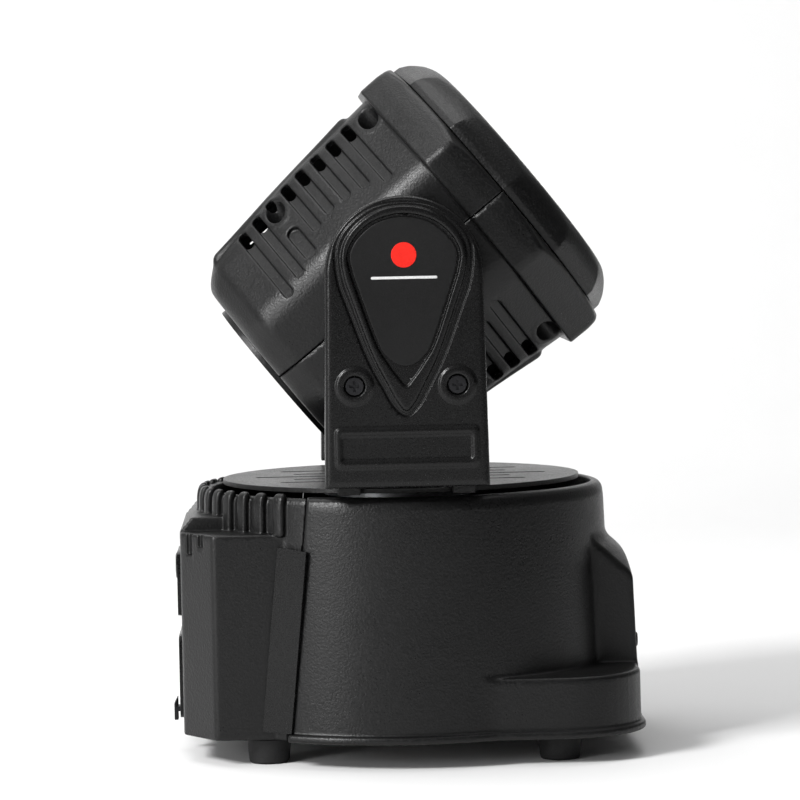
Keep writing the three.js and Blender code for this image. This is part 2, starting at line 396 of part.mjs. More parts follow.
// ================================================================ HEAD (in its own frame: X along the beam, Z up)
const BODY = [[-63.9, 41.0], [-62.6, 43.4], [-60.6, 45.6], [-55.1, 50.1], [-40.0, 52.6], [-24.0, 55.3], [-7.3, 57.2], [8.9, 58.1], [30.8, 59.9], [36.0, 60.0]];
const BODY_IN = [[-61.4, 38.6], [-58.6, 43.0], [-54.0, 47.6], [-40.0, 50.0], [-24.0, 52.7], [-7.3, 54.6], [8.9, 55.5], [30.8, 57.2], [49.0, 57.4]];
const apothem = (u) => { for (let i = 1; i < BODY.length; i++) if (u <= BODY[i][0]) { const [a, b] = [BODY[i - 1], BODY[i]]; return a[1] + (b[1] - a[1]) * (u - a[0]) / (b[0] - a[0]); } return 60; };
{
  const bezel = loft([[30.8, 63.7], [39.7, 63.9], [46.6, 63.0]], 8, 0.12, 16)
    .intersect(lathe([[0, 30], [76, 30], [76, 40], [69.8, 42.0], [67.4, 44.0], [64.2, 45.6], [61.0, 46.6], [0, 46.6]], 32, 'x'));
  const pad = prism([[20.0, 40], [20.0, 60.2], [18.6, 60.7], [-53.6, 51.9], [-55.2, 50.4], [-55.2, 40]], -19.5, 19.5, 'y');
  let outer = union(loft(BODY, 8, 0.3, 16), bezel, pad, mirrorZ(pad));
  let shell = cut(outer, loft(BODY_IN, 8, 0.28, 16));
  // screw towers, then their wells
  for (const [u, v] of WELLS) for (const sy of [-1, 1]) {
    const y = sy * (apothem(u) * Math.SQRT2 - v);
    shell = union(shell, cyl('z', -60, 60, 5.6, 5.6, [u, y], 12).intersect(loft(BODY, 8, 0.3, 16)));
    shell = cut(shell, cyl('z', 12, 80, 4.05, 4.05, [u, y], 12), cyl('z', -80, -12, 4.05, 4.05, [u, y], 12), cyl('z', -15, 8, 1.7, 1.7, [u, y], 8));
  }
  // vent slots: a shallow channel across each corner facet, open right through at its high end
  const cutters = [];
  for (const [u, vEnd] of SLOTS) {
    const A = apothem(u), s0 = -A * 0.40, s1 = Math.min(A - Math.SQRT2 * vEnd, A * 0.405);
    const slotShape = (w, a, b) => (b - a > 10 ? [[u - w, a], [u + w, a], [u + w, b - w], [u, b], [u - w, b - w]] : [[u - w, a], [u + w, a], [u + w, b], [u - w, b]]);
    const basis = M4().makeBasis(new THREE.Vector3(1, 0, 0), new THREE.Vector3(0, -Math.SQRT1_2, -Math.SQRT1_2), new THREE.Vector3(0, -Math.SQRT1_2, Math.SQRT1_2));
    for (const [w, a, b, d] of [[2.0, s0, s1, 1.2], [2.0, s0, s0 + 9, 6]]) {
      const g = new THREE.ExtrudeGeometry(new THREE.Shape(slotShape(w, a, b).map((p) => new THREE.Vector2(p[0], p[1]))), { depth: d + 6, bevelEnabled: false });
      g.translate(0, 0, A - d);
      g.applyMatrix4(basis);
      if (basis.determinant() < 0) flipSoup(g);
      cutters.push(toManifold(g));
    }
  }
  { // oval recess beside the rear well
    const u = -24.1, A = apothem(u), s0 = A - Math.SQRT2 * 40.8, s1 = A - Math.SQRT2 * 27.7;
    const basis = M4().makeBasis(new THREE.Vector3(1, 0, 0), new THREE.Vector3(0, -Math.SQRT1_2, -Math.SQRT1_2), new THREE.Vector3(0, -Math.SQRT1_2, Math.SQRT1_2));
    const g = new THREE.ExtrudeGeometry(new THREE.Shape([...arc(u, s0 + 2.7, 2.7, 180, 360, 4), ...arc(u, s1 - 2.7, 2.7, 0, 180, 4)].map((p) => new THREE.Vector2(p[0], p[1]))), { depth: 8, bevelEnabled: false });
    g.translate(0, 0, A - 1.6);
    g.applyMatrix4(basis);
    if (basis.determinant() < 0) flipSoup(g);
    cutters.push(toManifold(g));
  }
  for (const c of cutters) { const c2 = mirrorY(c); shell = cut(shell, c, c2, mirrorZ(c), mirrorZ(c2)); }
  // rear opening, pivot holes, bead round the pivot
  shell = cut(shell, cyl('x', -80, -58, 31.0, 31.0, [0, 0], 32), cyl('y', -80, 80, 8.35 / HEAD_K, 8.35 / HEAD_K, [-HEAD_AT[0] / HEAD_K, -HEAD_AT[2] / HEAD_K], 20));
  const upper = shell.intersect(box(-80, 60, -90, 90, 0.15, 90)), lower = shell.intersect(box(-80, 60, -90, 90, -90, -0.15));
  node('head_upper_shell', sized(upper), 'shell', headFrame);
  node('head_lower_shell', sized(lower), 'shell', headFrame);
  let k = 0;
  for (const [u, v] of WELLS) for (const sy of [-1, 1]) {
    const y = sy * (apothem(u) * Math.SQRT2 - v);
    let s = union(cyl('z', -15.3, -12.3, 3.5, 3.5, [u, y], 12), cyl('z', -12.4, 6, 1.35, 1.35, [u, y], 8));
    s = cut(s, box(u - 2, u + 2, y - 0.45, y + 0.45, -16, -14.2));
    node('head_screw_' + (++k), sized(s), 'dark_steel', headFrame);
  }
}
function flipSoup(g) { // reverses the winding of a geometry without an index
  const a = g.attributes.position;
  for (let i = 0; i < a.count; i += 3) for (let c = 0; c < 3; c++) {
    const x = a.array[i * 3 + c]; a.array[i * 3 + c] = a.array[(i + 1) * 3 + c]; a.array[(i + 1) * 3 + c] = x;
  }
  return g;
}
{
  // front ring: a twelve-sided collar, domed at the front, round the lens mask
  let ring = moved(loft([[46.9, 59.4], [49.8, 59.3], [53.4, 57.6], [55.8, 55.9], [57.8, 54.2], [60.8, 51.4]], 12, 0.04, 24), [0, 0, 0], [15 * DEG, 0, 0])
    .intersect(lathe([[0, 40], [70, 40], [66, 46], [61.9, 51.4], [58.2, 55.4], [55.0, 58.0], [51.4, 59.7], [48.8, 60.4], [0, 60.4]], 36, 'x'));
  ring = cut(ring, cyl('x', 40, 70, 47.4, 47.4, [0, 0], 24), cyl('x', 40, 52.0, 54.4, 54.4, [0, 0], 24));
  node('front_ring', sized(ring), 'shell', headFrame);
  const spots = [[0, 0], ...Array.from({ length: 6 }, (_, i) => [30 * Math.cos((60 * i + 30) * DEG), 30 * Math.sin((60 * i + 30) * DEG)])];
  let mask = cyl('x', 54.6, 57.4, 46.9, 46.9, [0, 0], 24);
  for (const [y, z] of spots) mask = cut(mask, cyl('x', 50, 60, 12.7, 12.7, [y, z], 12));
  node('lens_mask', sized(mask), 'badge', headFrame);
  let optic = cyl('x', 52.3, 54.3, 46.6, 46.6, [0, 0], 24);
  for (const [y, z] of spots) {
    const dome = moved(lathe([[0, 54.0], [12.0, 54.0], [12.0, 56.8], [7.6, 59.4], [0, 60.3]], 12, 'x'), [0, y, z]);
    optic = union(optic, dome);
  }
  node('lens_array', sized(optic), 'lens', headFrame);
  let leds = cyl('x', 40.2, 41.8, 48, 48, [0, 0], 28);
  for (const [y, z] of spots) leds = union(leds, cyl('x', 41.6, 43.6, 2.8, 2.8, [y, z], 8));
  node('led_board', sized(leds), 'white_pcb', headFrame);
  let sink = cyl('x', 35.6, 39.9, 50, 50, [0, 0], 28);
  for (let i = -4; i <= 4; i++) sink = union(sink, box(-8, 36, -22.0, 22.0, i * 8 - 0.9, i * 8 + 0.9));
  sink = union(sink, box(-8, 36, -0.9, 0.9, -46, 46));
  node('heatsink', sized(sink), 'aluminium', headFrame);
  const driver = union(box(-40.5, -9.5, -0.8, 0.8, -46, 46), box(-36, -22, 0.7, 9, 18, 34), box(-34, -16, 0.7, 7, -30, -14));
  node('driver_board', sized(driver), 'pcb', headFrame);
  let frame = cut(prism(roundRect(59, 59, 7, 3), -57, -42.5, 'x'), cyl('x', -70, -40, 27.8, 27.8, [0, 0], 28));
  frame = union(frame, cyl('x', -46.4, -43.0, 12, 12, [0, 0], 16), box(-45.6, -43.4, -28.5, 28.5, -1.5, 1.5), box(-45.6, -43.4, -1.5, 1.5, -28.5, 28.5));
  node('fan_frame', sized(frame), 'satin', headFrame);
  let rotor = cyl('x', -55.6, -47.0, 11.5, 11.5, [0, 0], 16);
  for (let i = 0; i < 7; i++) {
    const blade = moved(moved(box(-3.8, 3.8, -0.7, 0.7, 10.6, 26.6), [0, 0, 0], [0, 0, 38 * DEG]), [-51.4, 0, 0]);
    rotor = union(rotor, moved(blade, [0, 0, 0], [i * 2 * Math.PI / 7, 0, 0]));
  }
  node('fan_rotor', sized(rotor), 'satin', headFrame);
  let grille = union(cyl('x', -66.2, -64.2, 32.7, 32.7, [0, 0], 28), cyl('x', -64.4, -59.5, 30.6, 30.6, [0, 0], 28));
  grille = cut(grille, cyl('x', -80, -50, 28.4, 28.4, [0, 0], 28));
  for (const [r0, r1] of [[22.4, 20.2], [14.6, 12.4]]) grille = union(grille, cut(cyl('x', -64.0, -62.4, r0, r0, [0, 0], 12), cyl('x', -70, -50, r1, r1, [0, 0], 12)));
  grille = union(grille, cyl('x', -64.0, -62.4, 6, 6, [0, 0], 12));
  for (let i = 0; i < 3; i++) grille = union(grille, moved(box(-63.8, -62.6, -29, 29, -1.2, 1.2), [0, 0, 0], [(i * 60 + 30) * DEG, 0, 0]));
  node('rear_grille', sized(grille), 'shell', headFrame);
}
{ // tilt shafts: hollow for the wires, and the driven pulley on the right one
  const shaft = (end) => lathe([[5, 50], [8.0, 50], [8.0, 58.0], [16, 58.0], [16, 65.0], [12.4, 65.0], [12.4, 72.2], [8.0, 72.2], [8.0, end], [5, end], [5, 50]], 20);
  const right = moved(shaft(80.4), [0, 0, 0], [Math.PI / 2, 0, 0]);
  const left = moved(shaft(74.0), [0, 0, 0], [-Math.PI / 2, 0, 0]);
  node('tilt_shaft_right', right, 'steel', headFrame);
  node('tilt_shaft_left', left, 'steel', headFrame);
  node('tilt_pulley', moved(lathe([[8.2, 75.9], [19.2, 75.9], [19.2, 76.5], [18, 76.5], [18, 79.9], [19.2, 79.9], [19.2, 80.5], [8.2, 80.5], [8.2, 75.9]], 24), [0, 0, 0], [Math.PI / 2, 0, 0]), 'aluminium', headFrame);
}

export default light;
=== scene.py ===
# Moving head light: moulded shells made as distance fields, small parts, materials, light and camera,
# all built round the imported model.
import json
import math
import bpy
import numpy as np
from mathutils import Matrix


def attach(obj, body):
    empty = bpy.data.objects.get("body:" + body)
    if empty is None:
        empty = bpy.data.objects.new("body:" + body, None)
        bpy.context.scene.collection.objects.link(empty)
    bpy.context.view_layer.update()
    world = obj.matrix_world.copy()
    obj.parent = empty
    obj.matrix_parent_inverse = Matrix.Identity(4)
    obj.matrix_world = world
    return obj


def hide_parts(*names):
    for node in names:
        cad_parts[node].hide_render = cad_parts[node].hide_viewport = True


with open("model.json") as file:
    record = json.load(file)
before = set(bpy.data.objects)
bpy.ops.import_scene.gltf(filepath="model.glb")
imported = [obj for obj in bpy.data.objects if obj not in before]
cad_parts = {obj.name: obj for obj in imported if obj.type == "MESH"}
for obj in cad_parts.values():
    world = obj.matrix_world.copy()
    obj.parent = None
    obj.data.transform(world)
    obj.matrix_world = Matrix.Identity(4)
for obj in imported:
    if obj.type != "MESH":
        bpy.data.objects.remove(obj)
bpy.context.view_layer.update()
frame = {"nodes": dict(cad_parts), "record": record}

import openvdb as vdb
from mathutils import Matrix, Vector

nodes = frame["nodes"]
f32 = np.float32

# ---------------------------------------------------------------- dimensions, mm, as in the CAD part
PAN_X, FOOT_DROP, PIVOT_Z = -0.3, 2.2, 178.6
HEAD_TILT, HEAD_K, HEAD_AT = 39.1, 0.972, (2.6, 0.0, -0.6)
SHELL_Z0, RIM_Z, RIM_IN = 7.4, 97.4, 73.0
DRUM_R_TOP, DRUM_R_BOT = 77.8, 81.0
DISPLAY_X_TOP, DISPLAY_X_BOT, DISPLAY_HALF = 86.0, 88.0, 34.6
TOE_Z, TOE_X = 29.8, 87.0
REAR_X, REAR_HALF, REAR_CH_X, REAR_SIDE, REAR_TOP = -84.3, 43.0, -71.8, 61.5, 83.5
FIN_PITCH, FIN_W = 7.0, 4.9
ARM_IN, ARM_OUT, ARM_SPLIT = 65.5, 83.5, 73.0
ARM_W_TOP, ARM_W_BOT, ARM_Z0 = 28.7, 30.0, 101.3
ARM_SCREW = (18.65, -40.0)
WALL, GAP = 2.5, 0.3
SLOTS = [(17.1, 30.8), (8.8, 34.3), (0.6, 35.8), (-7.6, 35.8), (-15.7, 33.9), (-32.1, 25.0), (-40.2, 21.5)]
WELLS = [(26.6, 54.3), (-24.1, 50.0)]

BASE_M = Matrix.Scale(0.001, 4) @ Matrix.Translation((PAN_X, 0, FOOT_DROP))
PIVOT_M = BASE_M @ Matrix.Translation((0, 0, PIVOT_Z))
HEAD_M = PIVOT_M @ Matrix.Rotation(math.radians(-HEAD_TILT), 4, "Y") @ Matrix.Translation(HEAD_AT) @ Matrix.Scale(HEAD_K, 4)

# ---------------------------------------------------------------- distance fields
class Field:
    """A regular grid of points, spacing h, between two corners."""
    def __init__(self, lo, hi, h):
        self.h, self.lo = f32(h), np.array(lo, float)
        self.n = [int(math.ceil((b - a) / h)) + 1 for a, b in zip(lo, hi)]
        self.ax = [(a + h * np.arange(n)).astype(f32) for a, n in zip(lo, self.n)]
        self.X, self.Y, self.Z = self.ax[0][:, None, None], self.ax[1][None, :, None], self.ax[2][None, None, :]

    def part(self, lo, hi):
        s = tuple(slice(max(int((a - l) / self.h) - 2, 0), max(min(int((b - l) / self.h) + 4, n), 1)) for a, b, l, n in zip(lo, hi, self.lo, self.n))
        return s, self.X[s[0]], self.Y[:, s[1]], self.Z[:, :, s[2]]


def smax(a, b, k):
    """Larger of two fields, with the edge between them rounded over about k."""
    if k <= 0:
        return np.maximum(a, b)
    return np.maximum(a, b) + np.square(np.maximum(f32(k) - np.abs(a - b), f32(0))) * f32(0.25 / k)


def smin(a, b, k):
    return -smax(-a, -b, k)


def poly(px, py, pts):
    """Signed distance to a closed polygon."""
    px, py = np.broadcast_arrays(np.asarray(px, f32), np.asarray(py, f32))
    d = np.full(px.shape, 1e9, f32)
    inside = np.zeros(px.shape, bool)
    for i in range(len(pts)):
        (ax, ay), (bx, by) = pts[i], pts[i - 1]
        ex, ey = bx - ax, by - ay
        if ex * ex + ey * ey < 1e-12:
            continue
        wx, wy = px - f32(ax), py - f32(ay)
        t = np.clip((wx * f32(ex) + wy * f32(ey)) / f32(ex * ex + ey * ey), 0, 1)
        d = np.minimum(d, (wx - f32(ex) * t) ** 2 + (wy - f32(ey) * t) ** 2)
        c1, c2, c3 = py >= ay, py < by, f32(ex) * wy > f32(ey) * wx
        inside ^= (c1 & c2 & c3) | (~c1 & ~c2 & ~c3)
    return np.where(inside, -1, 1).astype(f32) * np.sqrt(d)


def rounded(pts, r, n=5):
    """The same polygon with every corner turned into a short curve."""
    out = []
    m = len(pts)
    for i in range(m):
        p, a, b = np.array(pts[i], float), np.array(pts[i - 1], float), np.array(pts[(i + 1) % m], float)
        la, lb = np.linalg.norm(a - p), np.linalg.norm(b - p)
        ka, kb = min(r, la * 0.45), min(r, lb * 0.45)
        p0, p2 = p + (a - p) / la * ka, p + (b - p) / lb * kb
        for j in range(n + 1):
            t = j / n
            out.append(tuple((1 - t) ** 2 * p0 + 2 * t * (1 - t) * p + t * t * p2))
    return out


def revolve(F, profile):
    """Body of revolution about Z through the origin; closed profile of (radius, height)."""
    R = np.sqrt(F.ax[0][:, None] ** 2 + F.ax[1][None, :] ** 2)
    tab = poly(F.h * np.arange(int(R.max() / F.h) + 3, dtype=f32)[:, None], F.ax[2][None, :], profile)
    t = R / F.h
    i = t.astype(np.int32)
    w = (t - i)[..., None].astype(f32)
    return tab[i] * (1 - w) + tab[i + 1] * w


def sweep(F, S, profile):
    """Along X, a closed profile of (station, measure), where S is the measure on each (y, z)."""
    tab = poly(F.ax[0][:, None], F.h * np.arange(int(S.max() / F.h) + 3, dtype=f32)[None, :], profile)
    t = S / F.h
    i = t.astype(np.int32)
    w = (t - i)[None].astype(f32)
    return tab[:, i] * (1 - w) + tab[:, i + 1] * w


def tri_sample(d, p):
    i = np.clip(np.floor(p).astype(np.int32), 0, np.array(d.shape) - 2)
    w = (p - i).astype(f32)
    x, y, z = i.T
    a, b, c = w.T
    out = np.zeros(len(p), f32)
    for dx in (0, 1):
        for dy in (0, 1):
            for dz in (0, 1):
                out += d[x + dx, y + dy, z + dz] * (a if dx else 1 - a) * (b if dy else 1 - b) * (c if dz else 1 - c)
    return out


def solid(name, F, d, M, mat, body, replaced=(), adapt=0.02):
    """Meshes a field's surface and makes it a piece. Normals come from the field, so shading stays smooth."""
    h = F.h
    d = np.ascontiguousarray(np.clip(d, -3 * h, 3 * h), dtype=f32)
    g = vdb.FloatGrid(float(3 * h))
    g.copyFromArray(d)
    p, t, q = g.convertToPolygons(isovalue=0.0, adaptivity=adapt)
    p = np.asarray(p, np.float64)
    t, q = np.asarray(t, np.int64).reshape(-1, 3), np.asarray(q, np.int64).reshape(-1, 4)
    e = 0.8
    nrm = np.stack([tri_sample(d, p + e * np.eye(3)[k]) - tri_sample(d, p - e * np.eye(3)[k]) for k in range(3)], 1).astype(float)
    co = F.lo + p * float(h)
    tri = np.concatenate([t, q[:, [0, 1, 2]], q[:, [0, 2, 3]]])
    a, b, c = co[tri[:, 0]], co[tri[:, 1]], co[tri[:, 2]]
    if np.einsum("ij,ij->i", a, np.cross(b, c)).sum() < 0:
        t, q = t[:, ::-1], q[:, ::-1]
    R = np.array(M.to_3x3())
    co = co @ R.T + np.array(M.translation)
    nrm = nrm @ np.linalg.inv(R)
    nrm /= np.linalg.norm(nrm, axis=1)[:, None] + 1e-12
    me = bpy.data.meshes.new(name)
    me.vertices.add(len(co))
    me.vertices.foreach_set("co", co.astype(f32).ravel())
    loops = np.concatenate([t.ravel(), q.ravel()]).astype(np.int32)
    me.loops.add(len(loops))
    me.loops.foreach_set("vertex_index", loops)
    me.polygons.add(len(t) + len(q))
    me.polygons.foreach_set("loop_start", np.concatenate([3 * np.arange(len(t)), 3 * len(t) + 4 * np.arange(len(q))]).astype(np.int32))
    me.polygons.foreach_set("use_smooth", np.ones(len(t) + len(q), bool))
    me.update(calc_edges=True)
    me.validate()
    if len(me.vertices) == len(nrm):
        me.normals_split_custom_set_from_vertices(nrm.astype(f32))
    ob = bpy.data.objects.new(name, me)
    bpy.context.scene.collection.objects.link(ob)
    me.materials.append(mat)
    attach(ob, body)
    if replaced:
        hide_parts(*replaced)
    print("piece", name, len(me.polygons))
    return ob


# ---------------------------------------------------------------- materials
class Mat:
    def __init__(self, name):
        self.m = bpy.data.materials.new(name)
        self.m.use_nodes = True
        self.t = self.m.node_tree
        self.t.nodes.clear()
        self.out = self.t.nodes.new("ShaderNodeOutputMaterial")
        self.b = self.t.nodes.new("ShaderNodeBsdfPrincipled")
        self.t.links.new(self.b.outputs[0], self.out.inputs[0])
        self.co = self.t.nodes.new("ShaderNodeTexCoord").outputs["Object"]

    def node(self, kind, **kw):
        n = self.t.nodes.new("ShaderNode" + kind)
        for k, v in kw.items():
            if k in n.inputs:
                n.inputs[k].default_value = v
            else:
                setattr(n, k, v)
        return n

    def link(self, a, b):
        self.t.links.new(a, b)

    def noise(self, scale, detail=2.0, rough=0.5, stretch=None):
        n = self.node("TexNoise", Scale=scale, Detail=detail, Roughness=rough)
        src = self.co
        if stretch:
            mp = self.node("Mapping")
            mp.inputs["Scale"].default_value = stretch
            self.link(self.co, mp.inputs[0])
            src = mp.outputs[0]
        self.link(src, n.inputs["Vector"])
        return n.outputs["Fac"]

    def ramp(self, fac, stops):
        r = self.node("ValToRGB")
        el = r.color_ramp.elements
        while len(el) > 1:
            el.remove(el[-1])
        el[0].position, el[0].color = stops[0][0], (*stops[0][1], 1)
        for p, c in stops[1:]:
            e = el.new(p)
            e.color = (*c, 1)
        self.link(fac, r.inputs[0])
        return r.outputs[0]

    def span(self, fac, lo, hi, a=0.3, b=0.7):
        r = self.node("MapRange")
        for k, v in (("From Min", a), ("From Max", b), ("To Min", lo), ("To Max", hi)):
            r.inputs[k].default_value = v
        self.link(fac, r.inputs["Value"])
        return r.outputs[0]

    def bump(self, fac, strength, distance, after=None):
        n = self.node("Bump", Strength=strength, Distance=distance)
        self.link(fac, n.inputs["Height"])
        if after is not None:
            self.link(after, n.inputs["Normal"])
        return n.outputs[0]


def grey(v, tint=(1.0, 1.0, 1.02)):
    return tuple(v * t for t in tint)


def plastic(name, dark, light, rough, grain, depth, patch=22.0, spec=0.5, fleck=0.0, tint=(1.0, 1.0, 1.03)):
    m = Mat(name)
    broad = m.noise(patch, 4.0, 0.6)
    fine = m.noise(grain, 2.0, 0.55)
    pits = m.node("TexVoronoi", Scale=grain * 0.62)
    m.link(m.co, pits.inputs["Vector"])
    mix = m.node("Mix", data_type="RGBA", blend_type="MIX")
    m.link(m.ramp(broad, [(0.3, grey(dark, tint)), (0.72, grey(light, tint))]), mix.inputs[6])
    m.link(m.ramp(fine, [(0.50, grey(dark * 0.8, tint)), (0.66, grey(light + fleck, tint))]), mix.inputs[7])
    mix.inputs[0].default_value = 0.5
    m.link(mix.outputs[2], m.b.inputs["Base Color"])
    ro = m.node("Math", operation="ADD")
    m.link(m.span(broad, rough - 0.05, rough + 0.06), ro.inputs[0])
    m.link(m.span(fine, -0.07, 0.09), ro.inputs[1])
    m.link(ro.outputs[0], m.b.inputs["Roughness"])
    n1 = m.bump(fine, 1.0, depth)
    n2 = m.bump(pits.outputs["Distance"], 0.55, depth, n1)
    m.link(n2, m.b.inputs["Normal"])
    m.b.inputs["Specular IOR Level"].default_value = spec
    return m.m


def metal(name, col, rough, stretch, wear=0.15, metallic=1.0):
    m = Mat(name)
    br = m.noise(900.0, 3.0, 0.6, stretch)
    broad = m.noise(30.0, 4.0, 0.6)
    m.link(m.ramp(broad, [(0.3, tuple(c * (1 - wear) for c in col)), (0.7, tuple(min(c * (1 + wear), 1) for c in col))]), m.b.inputs["Base Color"])
    ro = m.node("Math", operation="ADD")
    m.link(m.span(br, rough - 0.08, rough + 0.10), ro.inputs[0])
    m.link(m.span(broad, -0.04, 0.05), ro.inputs[1])
    m.link(ro.outputs[0], m.b.inputs["Roughness"])
    m.link(m.bump(br, 0.35, 0.00003), m.b.inputs["Normal"])
    m.b.inputs["Metallic"].default_value = metallic
    return m.m


def board(name, a, b, rough):
    m = Mat(name)
    tr = m.node("TexBrick")
    tr.inputs["Scale"].default_value = 180.0
    tr.inputs["Mortar Size"].default_value = 0.03
    m.link(m.co, tr.inputs["Vector"])
    tr.inputs["Color1"].default_value = (*a, 1)
    tr.inputs["Color2"].default_value = (*a, 1)
    tr.inputs["Mortar"].default_value = (*b, 1)
    m.link(tr.outputs["Color"], m.b.inputs["Base Color"])
    m.link(m.span(m.noise(300.0, 3.0), rough - 0.06, rough + 0.06), m.b.inputs["Roughness"])
    m.link(m.bump(tr.outputs["Fac"], 0.3, 0.00003), m.b.inputs["Normal"])
    return m.m


def glassy(name, col, rough, trans, ior=1.49):
    m = Mat(name)
    n = m.noise(160.0, 3.0)
    m.link(m.ramp(n, [(0.3, tuple(c * 0.94 for c in col)), (0.7, col)]), m.b.inputs["Base Color"])
    m.link(m.span(n, rough * 0.7, rough * 1.4), m.b.inputs["Roughness"])
    m.link(m.bump(m.noise(700.0, 2.0), 0.08, 0.00002), m.b.inputs["Normal"])
    m.b.inputs["Transmission Weight"].default_value = trans
    m.b.inputs["IOR"].default_value = ior
    return m.m


M_SHELL = plastic("grained_black_abs", 0.0036, 0.0054, 0.35, 1500.0, 0.00009, fleck=0.006, spec=0.3)
M_SATIN = plastic("satin_black_abs", 0.0032, 0.0046, 0.25, 2100.0, 0.00003, patch=16.0, fleck=0.002, spec=0.26)
M_BADGE = plastic("label_stock", 0.0050, 0.0070, 0.42, 2600.0, 0.00002, fleck=0.002, spec=0.25)
M_RUBBER = plastic("rubber_feet", 0.0070, 0.0130, 0.72, 1100.0, 0.00009, spec=0.35, fleck=0.003)
M_STEEL = metal("plated_steel", (0.52, 0.52, 0.53), 0.34, (1, 1, 14))
M_DARK = metal("black_oxide_steel", (0.030, 0.030, 0.032), 0.38, (8, 1, 1), wear=0.35)
M_ALU = metal("turned_aluminium", (0.66, 0.67, 0.69), 0.36, (1, 12, 1))
M_PCB = board("green_board", (0.010, 0.060, 0.030), (0.05, 0.16, 0.08), 0.42)
M_WHITE = board("white_board", (0.66, 0.66, 0.64), (0.5, 0.5, 0.48), 0.45)
M_LENS = glassy("moulded_optic", (0.93, 0.95, 0.97), 0.08, 0.85)
M_WINDOW = plastic("smoked_window", 0.006, 0.008, 0.12, 300.0, 0.00001, fleck=0.0)
M_RED = plastic("red_print", 0.46, 0.56, 0.5, 2200.0, 0.00002, spec=0.1, tint=(1.5, 0.045, 0.03))
M_PALE = plastic("pale_print", 0.62, 0.74, 0.5, 2200.0, 0.00002, spec=0.1, tint=(1, 1, 1))
BY_SLOT = {"shell": M_SHELL, "satin": M_SATIN, "badge": M_BADGE, "rubber": M_RUBBER, "steel": M_STEEL, "dark_steel": M_DARK,
           "aluminium": M_ALU, "pcb": M_PCB, "white_pcb": M_WHITE, "lens": M_LENS, "window": M_WINDOW}

# ---------------------------------------------------------------- the CAD nodes that stay
slots_of = {s["node"]: s["material_slot"] for s in frame["record"]["subparts"]}
for name, ob in nodes.items():
    ob.data.materials.clear()
    ob.data.materials.append(BY_SLOT[slots_of[name]])
    at = ob.data.attributes.get("custom_normal")
    if at is not None:
        ob.data.attributes.remove(at)
    ob.data.polygons.foreach_set("use_smooth", np.ones(len(ob.data.polygons), bool))
    w = ob.modifiers.new("weld", "WELD")
    w.merge_threshold = 1e-6
    small = name.startswith(("arm_screw", "head_screw", "menu_button", "fan_rotor", "badge"))
    bv = ob.modifiers.new("soft_edges", "BEVEL")
    bv.width = 0.00012 if small else (0.0006 if name.startswith(("foot", "seam_trim", "yoke_turntable")) else 0.00028)
    bv.segments = 3
    bv.limit_method = "ANGLE"
    bv.angle_limit = math.radians(28)
    bv.harden_normals = True
    bv.use_clamp_overlap = True


# ---------------------------------------------------------------- base shells
def drum_outer(F, off=0.0):
    rt, rb = DRUM_R_TOP - off, DRUM_R_BOT - off
    z1 = RIM_Z
    top = [(rt, z1 - 4.6), (rt - 0.25, z1 - 3.2), (rt - 0.8, z1 - 1.7), (rt - 1.8, z1 - 0.6), (rt - 3.2, z1 - 0.05), (rt - 4.0, z1)] if off == 0 else [(rt, z1 - 9), (RIM_IN - 0.5, z1 - 6.5), (RIM_IN - 0.5, z1 - 6)]
    return revolve(F, [(-60, -20), (rb, -20), (rb, SHELL_Z0)] + top + [(-60, top[-1][1])])


def display_block(F, off=0.0):
    h = DISPLAY_HALF - off
    pr = [(30, -20), (DISPLAY_X_BOT - off, -20), (DISPLAY_X_BOT - off, SHELL_Z0), (DISPLAY_X_TOP - off, 64), (DISPLAY_X_TOP - off - 0.6, 90), (30, 90)]
    block = poly(F.ax[0][:, None], F.ax[2][None, :], pr)[:, None, :]
    side = np.abs(F.Y) + (F.Z - 40) * f32(0.01) - f32(h)
    b = smax(np.broadcast_to(block, F.n), side, 1.6 if off == 0 else 0.5)
    cone = revolve(F, rounded([(-60, -30), (110, -30), (110, 47.6 - off), (92.8, 63.2 - off), (86, 69.4 - off), (81.6, 74.0 - off), (77.6, 77.0 - off), (70, 81.6 - off), (-60, 81.6 - off)], 4.0))
    return smax(b, cone, 2.2 if off == 0 else 0.5)


def toe_outline(off):
    x, y = TOE_X - off, 75.2 - off
    def arc(cy, a0, a1, n=14):
        return [(TOE_X - 30 + (30 - off) * math.cos(math.radians(a0 + (a1 - a0) * i / n)), cy + (30 - off) * math.sin(math.radians(a0 + (a1 - a0) * i / n))) for i in range(n + 1)]
    return [(20, -60), (26, -y), (56, -y)] + arc(-45.2, -88, 0) + arc(45.2, 0, 88) + [(56, y), (26, y), (20, 60)]


def toe(F, off=0.0):
    d = poly(F.ax[0][:, None], F.ax[1][None, :], toe_outline(off))[:, :, None]
    d = np.broadcast_to(d, F.n) + (F.Z - 20) * f32(0.012)
    return smax(d, F.Z - f32(TOE_Z - off), 1.8 if off == 0 else 0.5)


def seam_x(z):
    return -46.0 + 10.0 * (z - 4.0) / 100.0


